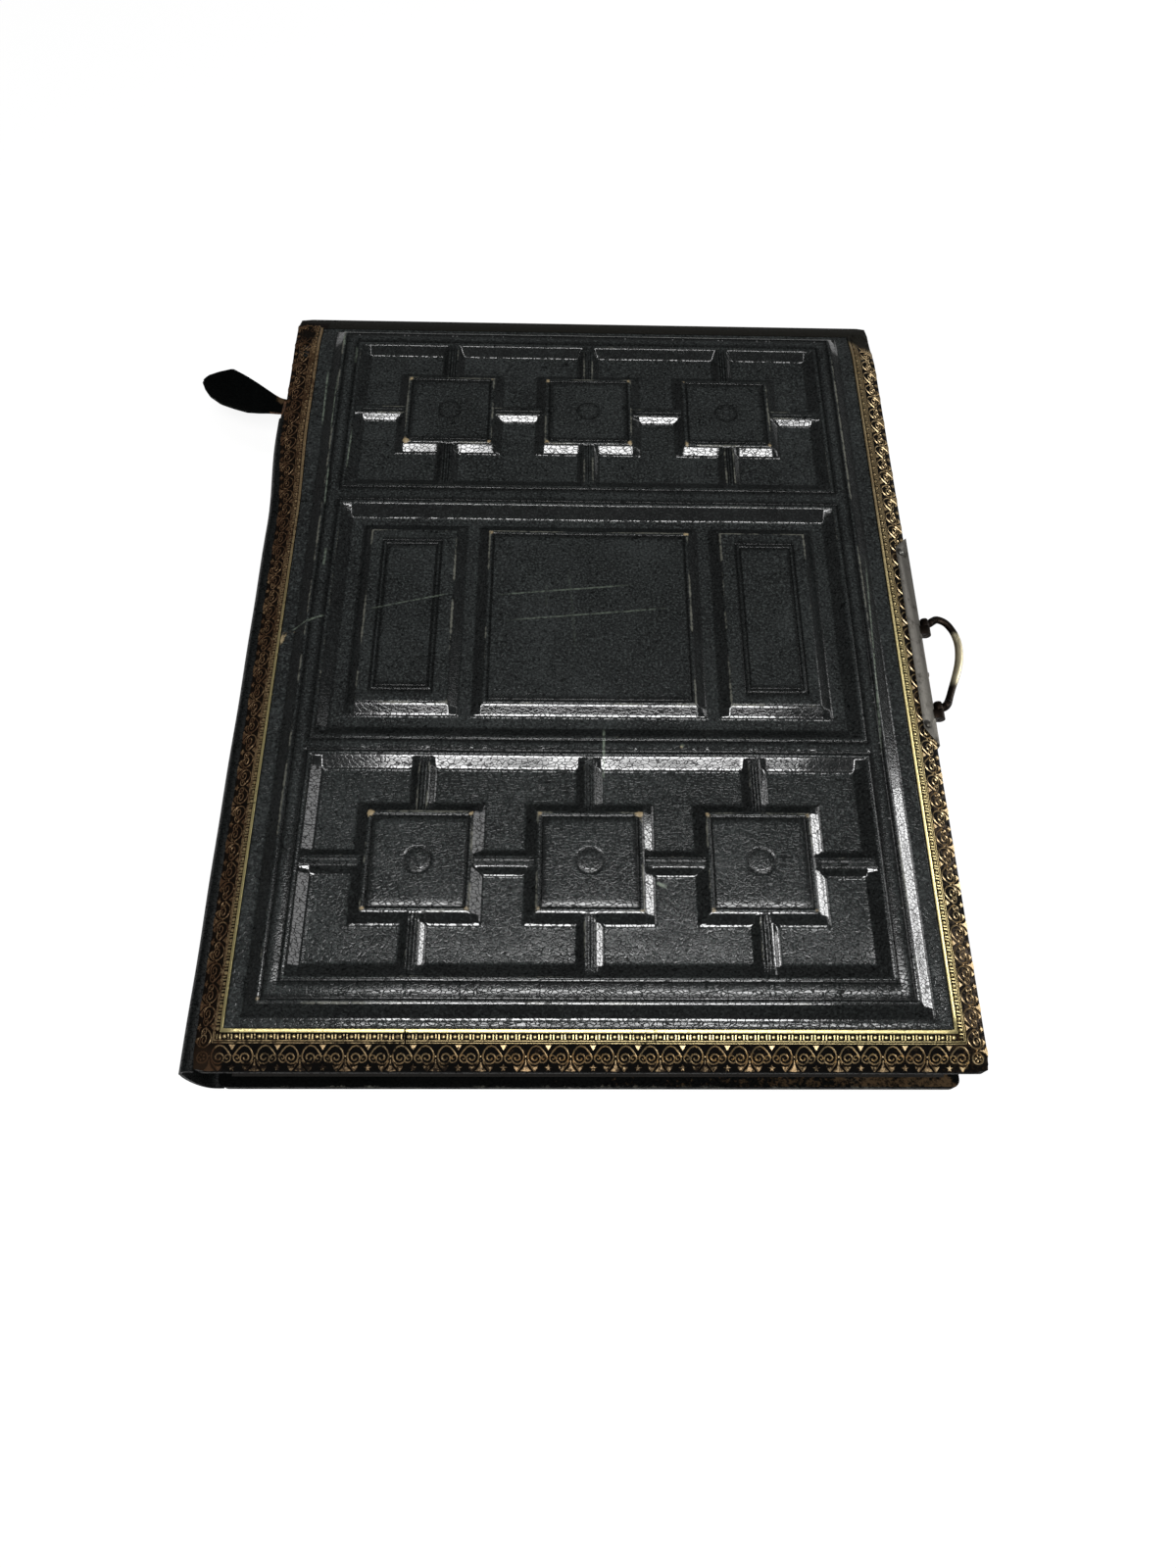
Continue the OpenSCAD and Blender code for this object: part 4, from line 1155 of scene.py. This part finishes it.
def ragged(count, rough, seed):
    """A torn line's small steps."""
    steps = np.random.default_rng(seed)
    return np.cumsum(steps.normal(0, rough, count)) * 0.5 + steps.normal(0, rough, count)


def leather_strip(name, section, columns, rows, head_of, seed, thick=0.95):
    """Leather that follows a section, from its turned-in tail end to a torn edge at the head."""
    piece, column, row = sheet_grid(name, columns, rows)
    share = column / (columns - 1)
    x, z = along_section(section, share)
    head = head_of(x, z) + ragged(columns, 0.25, seed)[column]
    # The rows lie closer together towards the tear
    y = -END_Y + (head + END_Y) * (1 - (1 - row / (rows - 1)) ** 1.35)
    x = x + 0.12 * np.sin(y / 9 + 2 * share) * np.sin(y / 23)
    x = x - SPREAD_SHARE * spread(np.full_like(x, SPINE_X), y) * ease((z - 14) / 10)
    place_vertices(piece, np.column_stack([x, y, z]))
    keep_attribute(piece, "edge", np.clip(1 - (head - y) / 0.8, 0, 1) * 0.8)
    corner = np.exp(-((y + END_Y) / 2.5) ** 2 - ((z - 27.5) / 2.0) ** 2)
    keep_attribute(piece, "rub", np.maximum(0.55 * np.exp(-((head - y) / 1.1) ** 2), 0.42 * corner))
    if sum(face.normal.x for face in piece.data.polygons) > 0:
        piece.data.flip_normals()
    piece.data.materials.append(JOINT_LEATHER)
    piece.data.materials.append(RAW_HIDE)
    modify(piece, "SOLIDIFY", thickness=thick * MM, offset=-1.0, use_even_offset=True,
           material_offset=1, material_offset_rim=1)
    for face in piece.data.polygons:
        if face.center.y < (-END_Y + 9) * MM:
            face.material_index = 0
    return smooth(piece, 50)


# The torn strip's two long edges from its root, and how many degrees it hangs down
FLAP_LOWER = [(1.2, -1.4), (-3.5, -1.5), (-7.3, -0.8), (-11.9, -0.6), (-16.7, 0.5), (-22.5, 3.4),
              (-28.7, 6.8), (-33.9, 11.5), (-37, 16.4), (-38.5, 20.6)]
FLAP_UPPER = [(1.2, 2.4), (-4, 4.2), (-6.2, 6.1), (-10.1, 10.1), (-14.7, 14.4), (-20.1, 19.2),
              (-26.4, 24.5), (-32.2, 24.3), (-36.8, 23.3), (-38.5, 21.4)]
FLAP_ROOT = (-112.5, 102.0, 22.6)
FLAP_DROOP = 11.3


def torn_flap():
    """The loose torn strip: a leaf of leather that twists at its neck and hangs out sideways."""
    columns, rows = 33, 11
    piece, column, row = sheet_grid("torn_flap", columns, rows)
    along, across = column / (columns - 1), row / (rows - 1)
    lower_x, lower_y = along_section(FLAP_LOWER, along)
    upper_x, upper_y = along_section(FLAP_UPPER, along)
    x = lower_x + (upper_x - lower_x) * across
    y = lower_y + (upper_y - lower_y) * across
    cup = 1.6 * np.sin(np.pi * along) * (2 * across - 1) ** 2
    twist = 1.3 * (2 * across - 1) * np.exp(-((along - 0.08) / 0.14) ** 2)
    z = cup + twist - 0.6 * np.sin(np.pi * along) + 0.25 * np.sin(9 * along + 4 * across)
    droop = math.radians(FLAP_DROOP)
    hanging = np.column_stack([x * math.cos(droop) - z * math.sin(droop), y,
                               x * math.sin(droop) + z * math.cos(droop)])
    place_vertices(piece, hanging + FLAP_ROOT)
    rim = np.minimum.reduce([across, 1 - across, (1 - along) * 2])
    keep_attribute(piece, "edge", np.clip(1 - rim / 0.06, 0, 1) * 0.5)
    rub = 0.75 * np.exp(-((along - 0.1) / 0.07) ** 2 - ((across - 0.9) / 0.35) ** 2)
    keep_attribute(piece, "rub", rub)
    if piece.data.polygons[0].normal.z < 0:
        piece.data.flip_normals()
    piece.data.materials.append(BACK_LEATHER)
    piece.data.materials.append(RAW_HIDE)
    modify(piece, "SOLIDIFY", thickness=0.9 * MM, offset=-1.0, use_even_offset=True,
           material_offset=1, material_offset_rim=1)
    for face in piece.data.polygons:
        if abs(face.normal.z) < 0.75 and face.center.x < (FLAP_ROOT[0] - 7) * MM:
            face.material_index = 0
    return smooth(piece, 50)


def spine_and_joints():
    """The spine's leather with its tear and flap, and the two leather joints."""
    def spine_head(x, z):
        return np.interp(z, [8, 13.4, 17, 19.8, 21.8, 22.8, 23.8, 25.3],
                         [86, 89, 92, 97.4, 104, 106, 99, 91.5])

    def front_head(x, z):
        return np.interp(x, [-112.5, -110.5, -109.2, -108.4, -107.3], [91, 90, 94, 106, 113])

    def back_head(x, z):
        return np.interp(x, [-112.5, -106.6], [86, 84])

    spine = leather_strip("spine_back", SPINE_SECTION, 29, 70, spine_head, 3)
    spine = join([spine, torn_flap()], "spine_leather_torn")
    dress(spine, None, "book_block", ["spine_leather"])
    front = leather_strip("front_joint_leather", FRONT_JOINT, 25, 70, front_head, 5, 0.8)
    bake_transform(front)
    back = leather_strip("back_joint_leather", BACK_JOINT, 21, 60, back_head, 7, 0.8)
    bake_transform(back)


# Clasp

# The bail's axis, and how far its eyes are from the middle
BAIL_X, BAIL_Y, BAIL_Z = 112.7, -13.6, 29.3
BAIL_HALF = 16
# The bail's bar as it has been pulled out of true: X, Y and half its thickness
BAIL_BAR = [(113.5, 2.4, 1.3), (114.4, 2.8, 1.35), (115.6, 3.7, 1.4), (117.3, 4.4, 1.3),
            (119.9, 3.1, 1.25), (121.7, 0.2, 1.2), (122.6, -2.8, 1.25), (122.9, -6, 1.3),
            (122.5, -10, 1.35), (121.7, -13.5, 1.35), (120.4, -17.2, 1.3), (118.6, -21.6, 1.2),
            (117.1, -25.4, 1.2), (116, -28, 1.35), (114.6, -29.4, 1.4), (113.5, -29.6, 1.3)]
BAIL_FLATTENED = 0.82
# Its two ends: side, the collar's X, Y, radius and length, and how many degrees it is turned
BAIL_ENDS = ((1, (115.1, 3.2, 1.5, 1.3), 35), (-1, (115.6, -28.4, 1.85, 1.7), -48))
EYE_R, EYE_LONG, EYE_WALL = 1.6, 2.4, 0.74


def rounded_path(points, steps):
    """A smooth path through points that each hold their place and their thickness."""
    points = np.array([points[0]] + points + [points[-1]], dtype=float)
    path = []
    for a, b, c, d in zip(points, points[1:], points[2:], points[3:]):
        for t in np.arange(steps) / steps:
            path.append(0.5 * (2 * b + (c - a) * t + (2 * a - 5 * b + 4 * c - d) * t ** 2
                               + (3 * b - a - 3 * c + d) * t ** 3))
    return path + [points[-2]]


def bail_loop():
    """The D-shaped loop: a flattened bar with a collar and an eye at each end, rubbed bright
    on its outer side."""
    points = rounded_path(BAIL_BAR, 4)
    bar = drawn_bar("bail_bar", [(x, y, BAIL_Z) for x, y, _ in points], [half for _, _, half in points],
                    roundness=4, capped=True)
    at = coordinates(bar)
    at[:, 2] = BAIL_Z + (at[:, 2] - BAIL_Z) * BAIL_FLATTENED
    place_vertices(bar, at)
    parts = [bar]
    for side, (collar_x, collar_y, collar_r, collar_long), turn in BAIL_ENDS:
        deselect()
        bpy.ops.mesh.primitive_cylinder_add(
            vertices=28, radius=EYE_R * MM, depth=EYE_LONG * MM, end_fill_type="NOTHING",
            location=(BAIL_X * MM, (BAIL_Y + side * BAIL_HALF) * MM, BAIL_Z * MM),
            rotation=(math.pi / 2, 0, 0))
        eye = settle(named("bail_eye"))
        modify(eye, "SOLIDIFY", thickness=EYE_WALL * MM, offset=-1.0)
        deselect()
        bpy.ops.mesh.primitive_cone_add(
            vertices=24, radius1=(collar_r - 0.1) * MM, radius2=collar_r * MM, depth=collar_long * MM,
            location=(collar_x * MM, collar_y * MM, BAIL_Z * MM),
            rotation=(0, math.pi / 2, math.radians(-side * turn)))
        collar = settle(named("bail_collar"))
        parts += [round_edges(eye, 0.22), round_edges(collar, 0.25)]
    loop = smooth(join(parts, "bail_loop"))
    y = coordinates(loop)[:, 1]
    keep_attribute(loop, "edge", ease((1.5 - y) / 6) * ease((y + 26) / 11))
    dress(loop, BRASS, "bail", ["clasp_bail"])


# The rounding of the clasp's edges, where the plate's brass ears begin, and what differs from
# the CAD: the plate's inner edge lies further out, and the catch's stud, found by its place
# and radius, is slimmer and higher
CLASP_BEVEL = 0.15
EAR_FROM = 110.95
PLATE_NARROWER = 0.65
STUD_Z, STUD_R, STUD_FROM = 22.35, 1.5, 106.9
STUD_SLIMMER, STUD_HIGHER = 2 / 3, 0.7


def clasp_parts():
    """The clasp's plates and pins, their edges broken, with two small changes from the CAD."""
    plate = softened("clasp_plate", "clasp_plate_bevelled")
    # The plate is a little narrower on the slope
    at = coordinates(plate)
    inner = at[:, 0] < at[:, 0].min() + 0.3
    at[inner] += (PLATE_NARROWER, 0, -PLATE_NARROWER * GILT_RISE / (FORE_X - FIELD_X))
    place_vertices(plate, at)
    dress(plate, STEEL, "front_board", ["clasp_plate"])
    plate.data.materials.append(BRASS)
    for face in plate.data.polygons:
        face.material_index = int(face.center.x > EAR_FROM * MM)
    catch = softened("catch_plate", "catch_plate_bevelled")
    # The stud is slimmer and stands higher, clear of the bent bar
    at = coordinates(catch)
    middle = np.array([BAIL_Y, STUD_Z])
    stud = (np.hypot(*(at[:, 1:] - middle).T) < STUD_R + 0.3) & (at[:, 0] > STUD_FROM)
    at[stud, 1:] = middle + (at[stud, 1:] - middle) * STUD_SLIMMER + (0, STUD_HIGHER)
    place_vertices(catch, at)
    dress(catch, STEEL, "back_board", ["catch_plate"])
    dress(softened("bail_pins", "bail_pins_rounded"), BRASS, "front_board", ["bail_pins"])


def kept_nodes():
    """The CAD's own rivets, paper and card, whose shape is right, with their aged finishes."""
    for material, nodes in ((RIVET_STEEL, ("clasp_rivets", "catch_rivets")),
                            (ENDPAPER, ("front_pastedown", "back_pastedown")),
                            (LINING, ("spine_lining",))):
        for node in nodes:
            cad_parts[node].data.materials.clear()
            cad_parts[node].data.materials.append(material)


# Floor, light and camera

# Lamps: place, size, power, and the point they face
LAMPS = (("lamp_overhead", (0.085, 0.145, 1.24), (0.79, 0.08), 2.2, (0.085, -0.1, 0)),
         ("lamp_ceiling", (0.03, -0.735, 1.3), (0.7, 0.41), 13.5, (0.0, 0.0, 0)),
         ("lamp_window", (1.35, 0.3, 0.28), (0.4, 0.4), 5, (0.0, 0.0, 0.03)),
         ("lamp_side", (1.0, 0.36, 0.76), (0.5, 0.5), 1.6, (0.0, 0.0, 0.03)))


def studio():
    """A pale floor, still air, four soft lamps, and the camera that fits the photograph."""
    deselect()
    bpy.ops.mesh.primitive_plane_add(size=8)
    floor = named("floor")
    material = bpy.data.materials.new("pale_floor")
    add = fresh_nodes(material)
    cloud = add("TexNoise", add("TexCoord", out="Object"), per_metre(400), 1, 0.55)
    paint = add("BsdfDiffuse", add("Mix", cloud, "#f2f2f2", "#f6f6f6"))
    rays = add("LightPath").node.outputs
    seen = add("Math", rays["Is Camera Ray"], rays["Is Transmission Ray"], operation="MAXIMUM")
    glow = add("Emission", Color=(1, 1, 1, 1), Strength=1.12)
    add("OutputMaterial", add("MixShader", add("Math", seen, 0.8), paint, glow))
    floor.data.materials.append(material)

    world = bpy.data.worlds.new("studio_air")
    bpy.context.scene.world = world
    add = fresh_nodes(world)
    strength = add("Math", add("LightPath", out="Is Camera Ray"), 0.94, 0.06, operation="MULTIPLY_ADD")
    add("OutputWorld", add("Background", Color=(1, 1, 1, 1), Strength=strength))

    for name, place, size, power, aim in LAMPS:
        light = bpy.data.lights.new(name, "AREA")
        light.shape = "RECTANGLE"
        light.size, light.size_y = size
        light.energy = power
        lamp = bpy.data.objects.new(name, light)
        bpy.context.collection.objects.link(lamp)
        lamp.location = place
        lamp.rotation_euler = (Vector(aim) - Vector(place)).to_track_quat("-Z", "Y").to_euler()

    camera_data = bpy.data.cameras.new("camera")
    camera_data.lens = 24.075
    camera_data.sensor_width = 36
    camera_data.clip_start = 0.01
    camera = bpy.data.objects.new("camera", camera_data)
    bpy.context.collection.objects.link(camera)
    camera.location = (-7.31 * MM, -196.71 * MM, 321.48 * MM)
    camera.rotation_euler = [math.radians(a) for a in (25.443, -1.296, -0.151)]
    bpy.context.scene.camera = camera
    bpy.context.scene.view_settings.view_transform = "Standard"


studio()
front_leather()
gilt_work()
back_leather()
card_leaves()
spine_and_joints()
bail_loop()
clasp_parts()
kept_nodes()

deselect()
